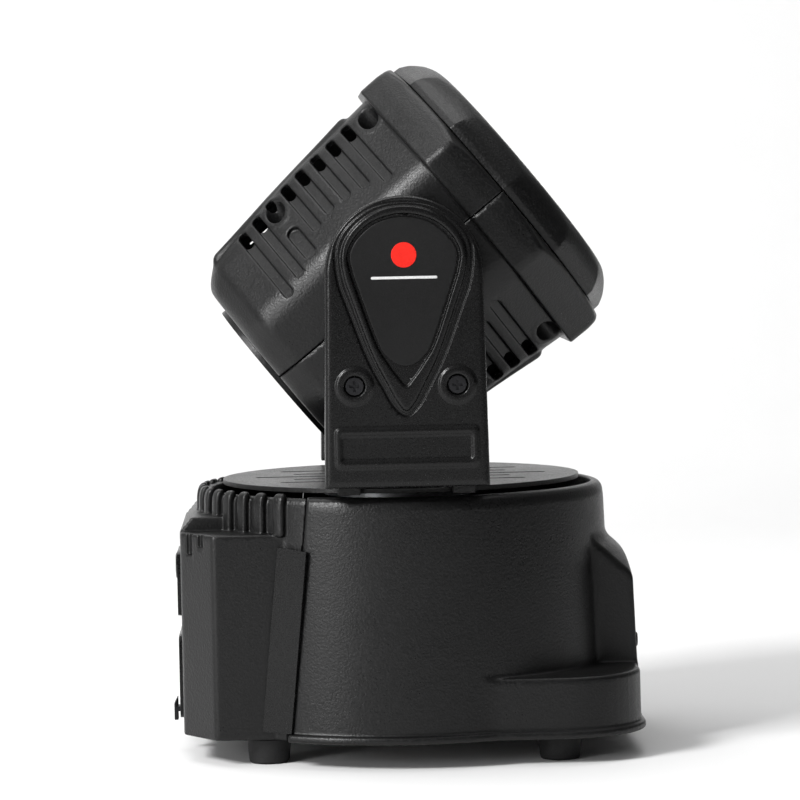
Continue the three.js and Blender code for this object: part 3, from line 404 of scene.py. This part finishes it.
HB = 0.5
F = Field((-49.5, -86.0, 6.0), (91.5, 86.0, 99.0), HB)
outer = smin(drum_outer(F), display_block(F), 2.4)
outer = smin(outer, toe(F), 1.6)
inner = smin(smin(drum_outer(F, WALL), display_block(F, WALL), 1.0), toe(F, WALL), 1.0)
R3 = np.sqrt(F.X ** 2 + F.Y ** 2)
inner = np.minimum(inner, np.maximum(R3 - RIM_IN, f32(RIM_Z - 8) - F.Z))
lip2 = np.minimum(R3[:, :, 0] - 83.1, poly(F.ax[0][:, None], F.ax[1][None, :], toe_outline(-1.8)))[:, :, None]
lip = smax(np.broadcast_to(lip2, F.n), F.Z - f32(SHELL_Z0 + 2.9), 1.4)
outer = smin(outer, lip, 0.9)
outer = smax(outer, f32(SHELL_Z0) - F.Z, 1.0)
shell = smax(outer, -inner, 0.8)
del inner
# display opening and the four key holes
s, X, Y, Z = F.part((78, -24, 40), (92, 24, 64))
hole = smax(np.abs(Y) - 22.0, np.abs(Z - 52) - 8.5, 1.2)
shell[s] = smax(shell[s], -np.maximum(hole, 70 - X), 0.8)
for i in range(4):
    s, X, Y, Z = F.part((78, -24 + 12 * i, 30), (92, -12 + 12 * i, 43))
    hole = np.sqrt((Y - (-18 + 12 * i)) ** 2 + (Z - 36.5) ** 2) - 3.4
    shell[s] = smax(shell[s], -np.maximum(hole, 70 - X), 0.6)
shell = smax(shell, (seam_x(F.Z) + f32(0.05)) - F.X, 0.8)
solid("base_front", F, shell, BASE_M, M_SHELL, "base", ["base_front_shell"], 0.012)
del shell, outer, lip, R3


def rear_parts(F, off):
    h, sd, x, c = REAR_HALF - off * 0.7, REAR_SIDE - off, REAR_X + off, REAR_CH_X + off * 0.7
    box2 = poly(F.ax[0][:, None], F.ax[1][None, :], rounded([(-15, sd), (c, sd), (x, h), (x, -h), (c, -sd), (-15, -sd)], 1.6 if off == 0 else 0.5))
    box = smax(np.broadcast_to(box2[:, :, None], F.n), F.Z - f32(REAR_TOP - off), 1.4 if off == 0 else 0.4)
    if off == 0:
        prof = [(-30, -20), (79.4, -20), (79.0, SHELL_Z0), (76.4, 84), (76.2, RIM_Z - 3), (75.6, RIM_Z - 1.4), (74.6, RIM_Z - 0.5), (-30, RIM_Z - 0.4)]
    else:
        prof = [(-30, -20), (76.4, -20), (76.4, 8), (74.0, 84), (RIM_IN, 90), (RIM_IN, RIM_Z + 5), (-30, RIM_Z + 5)]
    return box, revolve(F, prof)


F = Field((-87.0, -81.5, 6.0), (-34.0, 81.5, 100.4), HB)
box, drum = rear_parts(F, 0.0)
outer = smin(box, drum, 0.8)
slope = poly(F.ax[0][:, None], F.ax[2][None, :], [(-50, 80), (REAR_X, 80), (REAR_X, 83.9), (-83.1, 84.5), (-83.1, 85.3), (-81.9, 85.9), (-81.9, 86.7), (-80.7, 87.3), (-80.7, 88.1), (-79.5, 88.7), (-50, 88.7)])[:, None, :]
slope = smax(np.broadcast_to(slope, F.n), np.abs(F.Y) - f32(40.0), 0.8)
outer = smin(outer, slope, 0.5)
# fins round the shoulder
TH = np.degrees(np.arctan2(F.Y[..., 0], -F.X[..., 0]))
RR = np.sqrt(F.X[..., 0] ** 2 + F.Y[..., 0] ** 2)
k = np.clip(np.floor(TH / FIN_PITCH), -8, 7) + 0.5
across = np.abs(RR * np.sin(np.radians(TH - k * FIN_PITCH))) - f32(FIN_W / 2)
fin = revolve(F, rounded([(75.0, 82.6), (78.9, 82.6), (78.75, 94.2), (78.2, 97.0), (76.9, 98.4), (75.0, 98.6)], 1.2))
fin = smax(fin, np.broadcast_to(across[:, :, None].astype(f32), F.n), 1.5)
outer = smin(outer, fin, 0.5)
del fin, slope
box, drum = rear_parts(F, WALL)
slope_in = smax(np.broadcast_to(poly(F.ax[0][:, None], F.ax[2][None, :], [(-50, 70), (REAR_X + WALL, 70), (REAR_X + WALL, 81), (-60, 86.2), (-50, 86.2)])[:, None, :], F.n), np.abs(F.Y) - f32(37.5), 0)
inner = np.minimum(np.minimum(box, drum), slope_in)
outer = smax(outer, f32(SHELL_Z0) - F.Z, 0.8)
shell = smax(outer, -inner, 0.6)
del inner, outer, box, drum, slope_in
def rear_cut(lo, hi, fn, k=0.6):
    s, X, Y, Z = F.part(lo, hi)
    shell[s] = smax(shell[s], -np.broadcast_to(fn(X, Y, Z), shell[s].shape), k)
def rrect(Y, Z, cy, cz, w, h, r):
    qy, qz = np.abs(Y - cy) - (w / 2 - r), np.abs(Z - cz) - (h / 2 - r)
    return np.sqrt(np.maximum(qy, 0) ** 2 + np.maximum(qz, 0) ** 2) + np.minimum(np.maximum(qy, qz), 0) - r
rear_cut((-87, -24, 50), (-78, 6, 74), lambda X, Y, Z: np.maximum(rrect(Y, Z, -9, 62, 27.4, 20.4, 1.0), X + 70), 0.4)
rear_cut((-87, 11, 57), (-78, 27, 73), lambda X, Y, Z: np.sqrt((Y - 19) ** 2 + (Z - 65) ** 2) - 6.3 + 0 * X, 0.4)
for yy in (-15.5, 15.5):
    rear_cut((-87, yy - 13, 14), (-78, yy + 13, 40), lambda X, Y, Z: np.sqrt((Y - yy) ** 2 + (Z - 27) ** 2) - 11.9 + 0 * X, 0.4)
rear_cut((-87, -20, 11), (-78, -11, 18.5), lambda X, Y, Z: np.maximum(np.abs(Y + 15.5) - 3.4, np.abs(Z - 14.75) - 2.25) + 0 * X, 0.3)
for sg in (-1, 1):
    for dd, hh in ((0.28, 8.0), (0.62, 4.6)):
        cx, cy = REAR_X + (REAR_CH_X - REAR_X) * dd, sg * (REAR_HALF + (REAR_SIDE - REAR_HALF) * dd)
        ca, sa = math.cos(math.radians(33)), sg * math.sin(math.radians(33))
        rear_cut((cx - 4, cy - 4, REAR_TOP - hh - 2), (cx + 4, cy + 4, REAR_TOP + 2),
                 lambda X, Y, Z: np.maximum(np.maximum(np.abs((X - cx) * sa * 1.0 + (Y - cy) * ca) - 1.7, np.abs((X - cx) * ca - (Y - cy) * sa) - 1.25), (REAR_TOP - hh) - Z), 0.5)
shell = smax(shell, F.X - (seam_x(F.Z) - f32(0.02)), 0.35)
solid("base_rear", F, shell, BASE_M, M_SHELL, "base", ["base_rear_shell"], 0.012)
del shell

# ---------------------------------------------------------------- yoke arms
def arm_outline(off, bottom=ARM_Z0 - PIVOT_Z):
    wt, wb = ARM_W_TOP - off, ARM_W_BOT - off
    return [(-wb, bottom), (wb, bottom), (wt, 0)] + [(wt * math.cos(math.pi * i / 40), wt * math.sin(math.pi * i / 40)) for i in range(1, 40)] + [(-wt, 0)]


def smooth_drop(half, n=6):
    """A mirror-symmetric outline through the given points, smoothed with a spline; sharp only at the ends of half."""
    P = np.array(half, float)
    ext = np.vstack([[-P[1][0], P[1][1]], P, [-P[-2][0], P[-2][1]]])
    out = []
    for i in range(1, len(ext) - 2):
        p0, p1, p2, p3 = ext[i - 1:i + 3]
        for j in range(n):
            t = j / n
            out.append(0.5 * ((2 * p1) + (-p0 + p2) * t + (2 * p0 - 5 * p1 + 4 * p2 - p3) * t * t + (-p0 + 3 * p1 - 3 * p2 + p3) * t ** 3))
    out.append(P[-1])
    out = [tuple(o) for o in out]
    return out + [(-x, z) for x, z in out[1:-1][::-1]]


TEAR = [(0, 25.0), (8.5, 23.6), (15.6, 19.4), (20.6, 13.6), (22.6, 7.0), (21.6, -1.0), (18.6, -10.2), (12.0, -28.6), (6.4, -40.0), (3.2, -45.9), (0, -49.2)]
BADGE = [(0, 21.0), (9.5, 18.9), (16.0, 13.8), (19.3, 8.0), (18.6, 2.0), (16.6, -4.5), (9.6, -24.6), (6.4, -29.6), (3.2, -32.0), (0, -32.8)]
RECESS = [(0, 22.2), (9.8, 20.1), (16.7, 15.0), (20.4, 8.2), (19.8, 2.0), (17.8, -4.6), (11.0, -24.2), (6.6, -32.0), (2.6, -37.6), (0, -40.2)]
HA = 0.3


def arm_cover(sign):
    F = Field((-31.5, -86.2, -78.8), (31.5, -72.6, 30.4), HA)
    P = lambda pts: np.broadcast_to(poly(F.ax[0][:, None], F.ax[2][None, :], pts)[:, None, :], F.n)
    out_y = -F.Y                       # grows outwards
    body2 = P(arm_outline(0.0))
    d = smax(body2, out_y - f32(ARM_OUT), 2.6)
    tear = smax(P(smooth_drop(TEAR)), out_y - f32(ARM_OUT + 1.3), 1.2)
    d = smin(d, tear, 0.7)
    rec = np.maximum(P(smooth_drop(RECESS)), f32(ARM_OUT - 0.2) - out_y)
    d = smax(d, -rec, 0.9)
    # a shallow channel just outside the drop
    ch = np.abs(P(smooth_drop([(x * 1.045 + (0.9 if x else 0), z + (1.4 if z > 0 else -1.2)) for x, z in TEAR])) - 0.3) - 0.5
    d = smax(d, -np.maximum(ch, f32(ARM_OUT - 0.45) - out_y), 0.5)
    fr = smax(P(rounded([(-25.9, -69.6), (25.9, -69.6), (25.9, -55.2), (-25.9, -55.2)], 2.0)), -P(rounded([(-23.7, -67.0), (23.7, -67.0), (23.7, -57.8), (-23.7, -57.8)], 1.4)), 0.5)
    d = smin(d, smax(fr, out_y - f32(ARM_OUT + 0.8), 1.0), 0.8)
    for sx in (-1, 1):
        rr = np.sqrt((F.X - sx * ARM_SCREW[0]) ** 2 + (F.Z - ARM_SCREW[1]) ** 2)
        boss = smax(np.maximum(rr - 6.7, body2 + 0.3), out_y - f32(ARM_OUT + 0.75), 1.0)
        d = smin(d, boss, 0.8)
    d = smax(d, f32(ARM_Z0 - PIVOT_Z) - F.Z, 0.8)
    d = smax(d, f32(ARM_SPLIT + GAP) - out_y, 0.4)
    cav = np.maximum(P(arm_outline(2.2, -100)), out_y - f32(ARM_OUT - 2.4))
    post = None
    for sx in (-1, 1):
        rr = np.sqrt((F.X - sx * ARM_SCREW[0]) ** 2 + (F.Z - ARM_SCREW[1]) ** 2)
        p = np.maximum(rr - 4.6, f32(ARM_SPLIT + 0.6) - out_y)
        post = p if post is None else np.minimum(post, p)
    d = smax(d, -np.maximum(cav, -post), 0.5)
    for sx in (-1, 1):
        rr = np.sqrt((F.X - sx * ARM_SCREW[0]) ** 2 + (F.Z - ARM_SCREW[1]) ** 2)
        d = smax(d, -np.maximum(rr - 3.8, f32(81.3) - out_y), 0.6)
        d = smax(d, -(rr - 2.2 + 0 * F.Y), 0.2)
    return F, d


F, d = arm_cover(-1)
solid("arm_cover_shell_right", F, d, PIVOT_M, M_SATIN, "yoke", ["arm_cover_right"], 0.015)




G = Field((-31.5, 72.6, -78.8), (31.5, 86.2, 30.4), HA)
G.lo = np.array((-31.5, 72.6 + (86.2 - 72.6) - (F.n[1] - 1) * float(F.h), -78.8))
G.lo[1] = -(F.lo[1] + (F.n[1] - 1) * float(F.h))
solid("arm_cover_shell_left", G, d[:, ::-1, :], PIVOT_M, M_SATIN, "yoke", ["arm_cover_left"], 0.015)

# inner halves of the arms
F = Field((-31.5, -74.0, -78.8), (31.5, -64.6, 30.4), HA)
P = lambda pts: np.broadcast_to(poly(F.ax[0][:, None], F.ax[2][None, :], pts)[:, None, :], F.n)
d = smax(P(arm_outline(0.0)), f32(ARM_IN) + F.Y, 2.2)
d = smax(d, -F.Y - f32(ARM_SPLIT), 0.4)
d = smax(d, f32(ARM_Z0 - PIVOT_Z) - F.Z, 0.8)
rr = np.sqrt(F.X ** 2 + F.Z ** 2)
keep = np.maximum(rr - 15.5, -F.Y - 71.6)
cav = np.maximum(P(arm_outline(2.2, -100)), f32(ARM_IN + 2.2) + F.Y)
for sx in (-1, 1):
    r2 = np.sqrt((F.X - sx * ARM_SCREW[0]) ** 2 + (F.Z - ARM_SCREW[1]) ** 2)
    keep = np.minimum(keep, np.maximum(r2 - 3.2, -F.Y - 72.7))
d = smax(d, -np.maximum(cav, -keep), 0.4)
d = smax(d, -(rr - 12.6 + 0 * F.Y), 0.8)
for sx in (-1, 1):
    r2 = np.sqrt((F.X - sx * ARM_SCREW[0]) ** 2 + (F.Z - ARM_SCREW[1]) ** 2)
    d = smax(d, -np.maximum(r2 - 1.9, 69 + F.Y), 0.2)
solid("arm_inner_shell_right", F, d, PIVOT_M, M_SATIN, "yoke", ["arm_inner_right"], 0.015)
G = Field(tuple(F.lo), tuple(F.lo + 1.0), HA)
G.lo = F.lo.copy()
G.lo[1] = -(F.lo[1] + (F.n[1] - 1) * float(F.h))
solid("arm_inner_shell_left", G, d[:, ::-1, :], PIVOT_M, M_SATIN, "yoke", ["arm_inner_left"], 0.015)
del d

# label plates, each with a plain dot and a bar
for side, sg in (("right", -1), ("left", 1)):
    F = Field((-20.6, 82.9, -34.2), (20.6, 85.2, 22.4), 0.16)
    P = lambda pts: np.broadcast_to(poly(F.ax[0][:, None], F.ax[2][None, :], pts)[:, None, :], F.n)
    d = smax(P(smooth_drop(BADGE)), np.abs(F.Y - f32(ARM_OUT + 0.35)) - f32(0.25), 0.25)
    G = Field(tuple(F.lo), tuple(F.lo + 1.0), float(F.h))
    if sg < 0:
        G.lo = F.lo.copy()
        G.lo[1] = -(F.lo[1] + (F.n[1] - 1) * float(F.h))
        d = d[:, ::-1, :]
    solid("label_plate_" + side, G, d, PIVOT_M, M_BADGE, "yoke", ["badge_" + side], 0.02)
    F = Field((-6.2, 83.9, 1.2), (6.2, 84.6, 13.0), 0.1)
    d = smax(np.sqrt(F.X ** 2 + (F.Z - f32(7.2)) ** 2) - f32(4.6), np.abs(F.Y - f32(84.13)) - f32(0.12), 0.08)
    G = Field(tuple(F.lo), tuple(F.lo + 1.0), float(F.h))
    if sg < 0:
        G.lo[1] = -(F.lo[1] + (F.n[1] - 1) * float(F.h))
        d = d[:, ::-1, :]
    solid("label_dot_" + side, G, d, PIVOT_M, M_RED, "yoke", (), 0.02)
    F = Field((-13.4, 83.9, -2.4), (13.4, 84.6, 0.6), 0.1)
    d = smax(rrect(F.X, F.Z, 0, -1.0, 24.0, 1.0, 0.45), np.abs(F.Y - f32(84.13)) - f32(0.12), 0.08)
    G = Field(tuple(F.lo), tuple(F.lo + 1.0), float(F.h))
    if sg < 0:
        G.lo[1] = -(F.lo[1] + (F.n[1] - 1) * float(F.h))
        d = d[:, ::-1, :]
    solid("label_bar_" + side, G, d, PIVOT_M, M_PALE, "yoke", (), 0.02)

# ---------------------------------------------------------------- head shells, in the head's own frame
BODY = [(-63.9, 41.0), (-62.6, 43.4), (-60.6, 45.6), (-55.1, 50.1), (-40.0, 52.6), (-24.0, 55.3), (-7.3, 57.2), (8.9, 58.1), (30.8, 59.9), (36.0, 60.0)]
BODY_IN = [(-61.4, 38.6), (-58.6, 43.0), (-54.0, 47.6), (-40.0, 50.0), (-24.0, 52.7), (-7.3, 54.6), (8.9, 55.5), (30.8, 57.2), (49.0, 57.4)]


def apothem(u):
    return float(np.interp(u, [b[0] for b in BODY], [b[1] for b in BODY]))


HH = 0.42
q = Field((-65.5, 0.0, 0.0), (49.0, 67.5, 67.5), HH)      # one quarter: y and z are both distances from the middle
Y2, Z2 = q.ax[1][:, None], q.ax[2][None, :]
def octagon(k):
    return smax(smax(np.broadcast_to(Y2, (q.n[1], q.n[2])), np.broadcast_to(Z2, (q.n[1], q.n[2])), k), (Y2 + Z2) * f32(math.sqrt(0.5)), k)
soft, crisp, RAD = octagon(5.0), octagon(1.6), np.sqrt(Y2 ** 2 + Z2 ** 2)
body = sweep(q, soft, rounded([(-63.9, -30)] + BODY + [(36.0, -30)], 2.0))
bez = sweep(q, crisp, rounded([(30.8, -30), (30.8, 63.7), (39.7, 63.9), (47.2, 63.0), (47.2, -30)], 0.9))
dome = sweep(q, RAD, rounded([(25, -40), (25, 80), (40.0, 76.6), (42.2, 70.4), (44.3, 67.8), (46.0, 64.6), (46.9, 61.4), (46.9, -40)], 1.2))
bez = smax(bez, dome, 1.0)
pad2 = poly(q.ax[0][:, None], q.ax[2][None, :], rounded([(20.0, 30), (20.0, 60.0), (18.2, 60.7), (-53.6, 51.9), (-55.4, 50.2), (-55.4, 30)], 1.4))[:, None, :]
pad = smax(np.broadcast_to(pad2, q.n), q.Y - f32(19.5), 2.4)
outer = smin(smin(body, pad, 1.6), bez, 0.9)
cavity = sweep(q, octagon(4.5), [(-61.4, -30)] + BODY_IN + [(49.0, -30), (60.0, -30), (60.0, -31), (-61.4, -31)])
shell = smax(outer, -cavity, 0.6)
del bez, dome, pad, cavity
rib = np.maximum(np.maximum(q.Y - f32(0.9), f32(46.6) - q.Z), np.maximum(q.X - 30, -60 - q.X))
rib = np.minimum(rib, np.maximum(np.maximum(q.Y - f32(0.9), f32(38.0) - q.Z), np.maximum(q.X + 40, -60 - q.X)))
shell = np.minimum(shell, np.maximum(rib, body + 0.4))
del rib
# screw towers and their wells
for u, v in WELLS:
    y = apothem(u) * math.sqrt(2) - v
    s, X, Y, Z = q.part((u - 8, y - 8, 0), (u + 8, y + 8, 62))
    rr = np.sqrt((X - f32(u)) ** 2 + (Y - f32(y)) ** 2)
    tower = np.maximum(np.broadcast_to(rr - 5.6, body[s].shape), body[s] + 0.2)
    tower = np.maximum(tower, 0.1 - Z)
    d = smin(shell[s], tower, 0.8)
    d = smax(d, -np.maximum(rr - 4.05, 12 - Z), 0.7)
    shell[s] = smax(d, -(rr - 1.7 + 0 * Z), 0.2)
# vents on the corner facets
def facet_cut(u, s0, s1, w, depth, k, A):
    s, X, Y, Z = q.part((u - w - 2, 8, 8), (u + w + 2, 67, 67))
    along, out = (Y - Z) * f32(math.sqrt(0.5)), (Y + Z) * f32(math.sqrt(0.5))
    d2 = np.sqrt((X - f32(u)) ** 2 + (along - np.clip(along, s0 + w, s1 - w)) ** 2) - f32(w)
    shell[s] = smax(shell[s], -smax(d2, f32(A - depth) - out, 0.4), k)
for u, v_end in SLOTS:
    A = apothem(u)
    s0, s1 = -A * 0.405, min(A - math.sqrt(2) * v_end, A * 0.405)
    facet_cut(u, s0, s1, 2.05, 1.8, 0.45, A)
    facet_cut(u, s0, s0 + 8.5, 1.8, 7.0, 0.5, A)
A = apothem(-24.1)
facet_cut(-24.1, A - math.sqrt(2) * 40.8, A - math.sqrt(2) * 27.7, 2.7, 1.7, 0.7, A)
facet_cut(-24.1, -A * 0.41, -A * 0.41 + 4.6, 1.9, 6.0, 0.5, A)
# mouth at the back, and the pivot hole
s, X, Y, Z = q.part((-66, 0, 0), (-56, 40, 40))
shell[s] = smax(shell[s], -(np.sqrt(Y ** 2 + Z ** 2) - 31.0 + 0 * X), 0.8)
s, X, Y, Z = q.part((-16, 40, 0), (10, 66, 10))
px, pz = -HEAD_AT[0] / HEAD_K, -HEAD_AT[2] / HEAD_K
base_shell = shell
for name, up in (("upper", True), ("lower", False)):
    shell = base_shell.copy()
    shell[s] = smax(shell[s], -(np.sqrt((X - f32(px)) ** 2 + (Z - f32(pz if up else -pz)) ** 2) - f32(8.35 / HEAD_K) + 0 * Y), 0.5)
    shell = smax(shell, f32(0.15) - q.Z, 0.45)
    full = np.concatenate([shell[:, :0:-1, :], shell], axis=1)         # both sides
    G = Field(tuple(q.lo), tuple(q.lo + 1.0), HH)
    G.lo = np.array((q.lo[0], -(q.n[1] - 1) * float(q.h), 0.0 if up else -(q.n[2] - 1) * float(q.h)))
    solid("head_%s_moulding" % name, G, full if up else full[:, :, ::-1], HEAD_M, M_SHELL, "head", ["head_%s_shell" % name], 0.012)
del full, shell, base_shell, body, outer

# ---------------------------------------------------------------- front ring
HR = 0.4
F = Field((45.6, -64.0, -64.0), (61.6, 64.0, 64.0), HR)
Y2, Z2 = F.ax[1][:, None], F.ax[2][None, :]
RAD = np.sqrt(Y2 ** 2 + Z2 ** 2)
ang = np.degrees(np.arctan2(np.broadcast_to(Z2, RAD.shape), np.broadcast_to(Y2, RAD.shape)))
twelve = (RAD * np.cos(np.radians(np.mod(ang, 30.0) - 15.0))).astype(f32)
ring = sweep(F, twelve, rounded([(46.9, -40), (46.9, 59.4), (49.8, 59.3), (53.4, 57.6), (55.8, 55.9), (57.8, 54.2), (60.8, 51.4), (60.8, -40)], 0.6))
dome = sweep(F, RAD, rounded([(40, -40), (40, 70), (46, 66), (51.4, 61.9), (55.4, 58.2), (58.0, 55.0), (59.7, 51.4), (60.4, 48.8), (60.4, -40)], 1.0))
ring = smax(ring, dome, 1.1)
bore = np.minimum(np.broadcast_to(RAD[None] - 47.4, F.n), np.maximum(RAD[None] - 54.4, F.X - 52.0))
ring = smax(ring, -bore, 0.7)
solid("front_collar", F, ring, HEAD_M, M_SHELL, "head", ["front_ring"], 0.015)
del ring, dome, bore

# ---------------------------------------------------------------- floor, light and camera
def area(name, loc, at, size, power, colour=(1, 1, 1), size_y=None):
    l = bpy.data.lights.new(name, "AREA")
    l.energy, l.size, l.color = power, size, colour
    if size_y:
        l.shape, l.size_y = "RECTANGLE", size_y
    o = bpy.data.objects.new(name, l)
    bpy.context.scene.collection.objects.link(o)
    o.location = loc
    o.rotation_euler = (Vector(at) - Vector(loc)).to_track_quat("-Z", "Y").to_euler()
    return o


world = bpy.data.worlds.new("studio")
bpy.context.scene.world = world
world.use_nodes = True
wt = world.node_tree
bg = wt.nodes["Background"]
bg.inputs[0].default_value = (1, 1, 1, 1)
tc, dot, mr = wt.nodes.new("ShaderNodeTexCoord"), wt.nodes.new("ShaderNodeVectorMath"), wt.nodes.new("ShaderNodeMapRange")
dot.operation = "DOT_PRODUCT"
dot.inputs[1].default_value = (-0.80, 0.36, 0.48)          # brightest behind and to the left, as from a wall of windows
for k, v in (("From Min", -0.75), ("From Max", 0.75), ("To Min", 0.04), ("To Max", 0.50)):
    mr.inputs[k].default_value = v
wt.links.new(tc.outputs["Generated"], dot.inputs[0])
wt.links.new(dot.outputs["Value"], mr.inputs["Value"])
wt.links.new(mr.outputs[0], bg.inputs[1])

me = bpy.data.meshes.new("studio_floor")
prof = [(-3.0, 0.0)] + [(0.9 + 0.7 * math.sin(a), 0.7 - 0.7 * math.cos(a)) for a in np.linspace(0, math.pi / 2, 24)] + [(1.6, 3.4)]
vs = [(x, y, z) for y, z in prof for x in (-1.5, 0.75)]
fs = [(2 * i, 2 * i + 1, 2 * i + 3, 2 * i + 2) for i in range(1, len(prof) - 1)]
n0 = len(vs)
vs += [(-3.0, -3.0, 0.0), (3.0, -3.0, 0.0), (3.0, 0.9, 0.0), (-3.0, 0.9, 0.0)]
fs += [(n0, n0 + 1, n0 + 2, 3), (n0, 3, 2, n0 + 3)]
me.from_pydata(vs, [], fs)
me.polygons.foreach_set("use_smooth", np.ones(len(me.polygons), bool))
floor = bpy.data.objects.new("studio_floor", me)
bpy.context.scene.collection.objects.link(floor)
mf = Mat("floor_paper")
mf.link(mf.ramp(mf.noise(3.0, 3.0), [(0.3, (0.81, 0.81, 0.81)), (0.7, (0.83, 0.83, 0.83))]), mf.b.inputs["Base Color"])
mf.link(mf.span(mf.noise(40.0, 3.0), 0.85, 0.95), mf.b.inputs["Roughness"])
mf.b.inputs["Specular IOR Level"].default_value = 0.1
me.materials.append(mf.m)

area("key_left", (-1.15, -0.95, 1.25), (0, 0, 0.15), 0.5, 36)
area("top_soft", (-0.6, 0.5, 1.5), (0, 0, 0.15), 1.0, 3)
area("front_fill", (-1.5, -1.5, 0.5), (0, 0, 0.15), 0.6, 14)
area("backdrop_wash", (0.0, 0.3, 2.2), (0, 1.5, 0.5), 1.8, 22, size_y=1.0)

CAM = dict(yaw=1.8, D=1350.0, zc=202.0, tx=0.0, tz=131.2, f=3506.0, roll=1.1)
a = math.radians(CAM["yaw"])
c = Vector((-CAM["D"] * math.sin(a) + CAM["tx"], -CAM["D"] * math.cos(a), CAM["zc"])) / 1000
t = Vector((CAM["tx"], 0, CAM["tz"])) / 1000
fwd = (t - c).normalized()
r = fwd.cross(Vector((0, 0, 1))).normalized()
u = r.cross(fwd)
ro = math.radians(CAM["roll"])
r2, u2 = r * math.cos(ro) - u * math.sin(ro), u * math.cos(ro) + r * math.sin(ro)
cd = bpy.data.cameras.new("camera")
cd.sensor_width, cd.lens = 36.0, CAM["f"] * 36.0 / 800.0
cd.clip_start, cd.clip_end = 0.05, 30.0
cam = bpy.data.objects.new("camera", cd)
bpy.context.scene.collection.objects.link(cam)
cam.matrix_world = Matrix(((r2.x, u2.x, -fwd.x, c.x), (r2.y, u2.y, -fwd.y, c.y), (r2.z, u2.z, -fwd.z, c.z), (0, 0, 0, 1)))
bpy.context.scene.camera = cam
bpy.context.scene.view_settings.view_transform = "Standard"
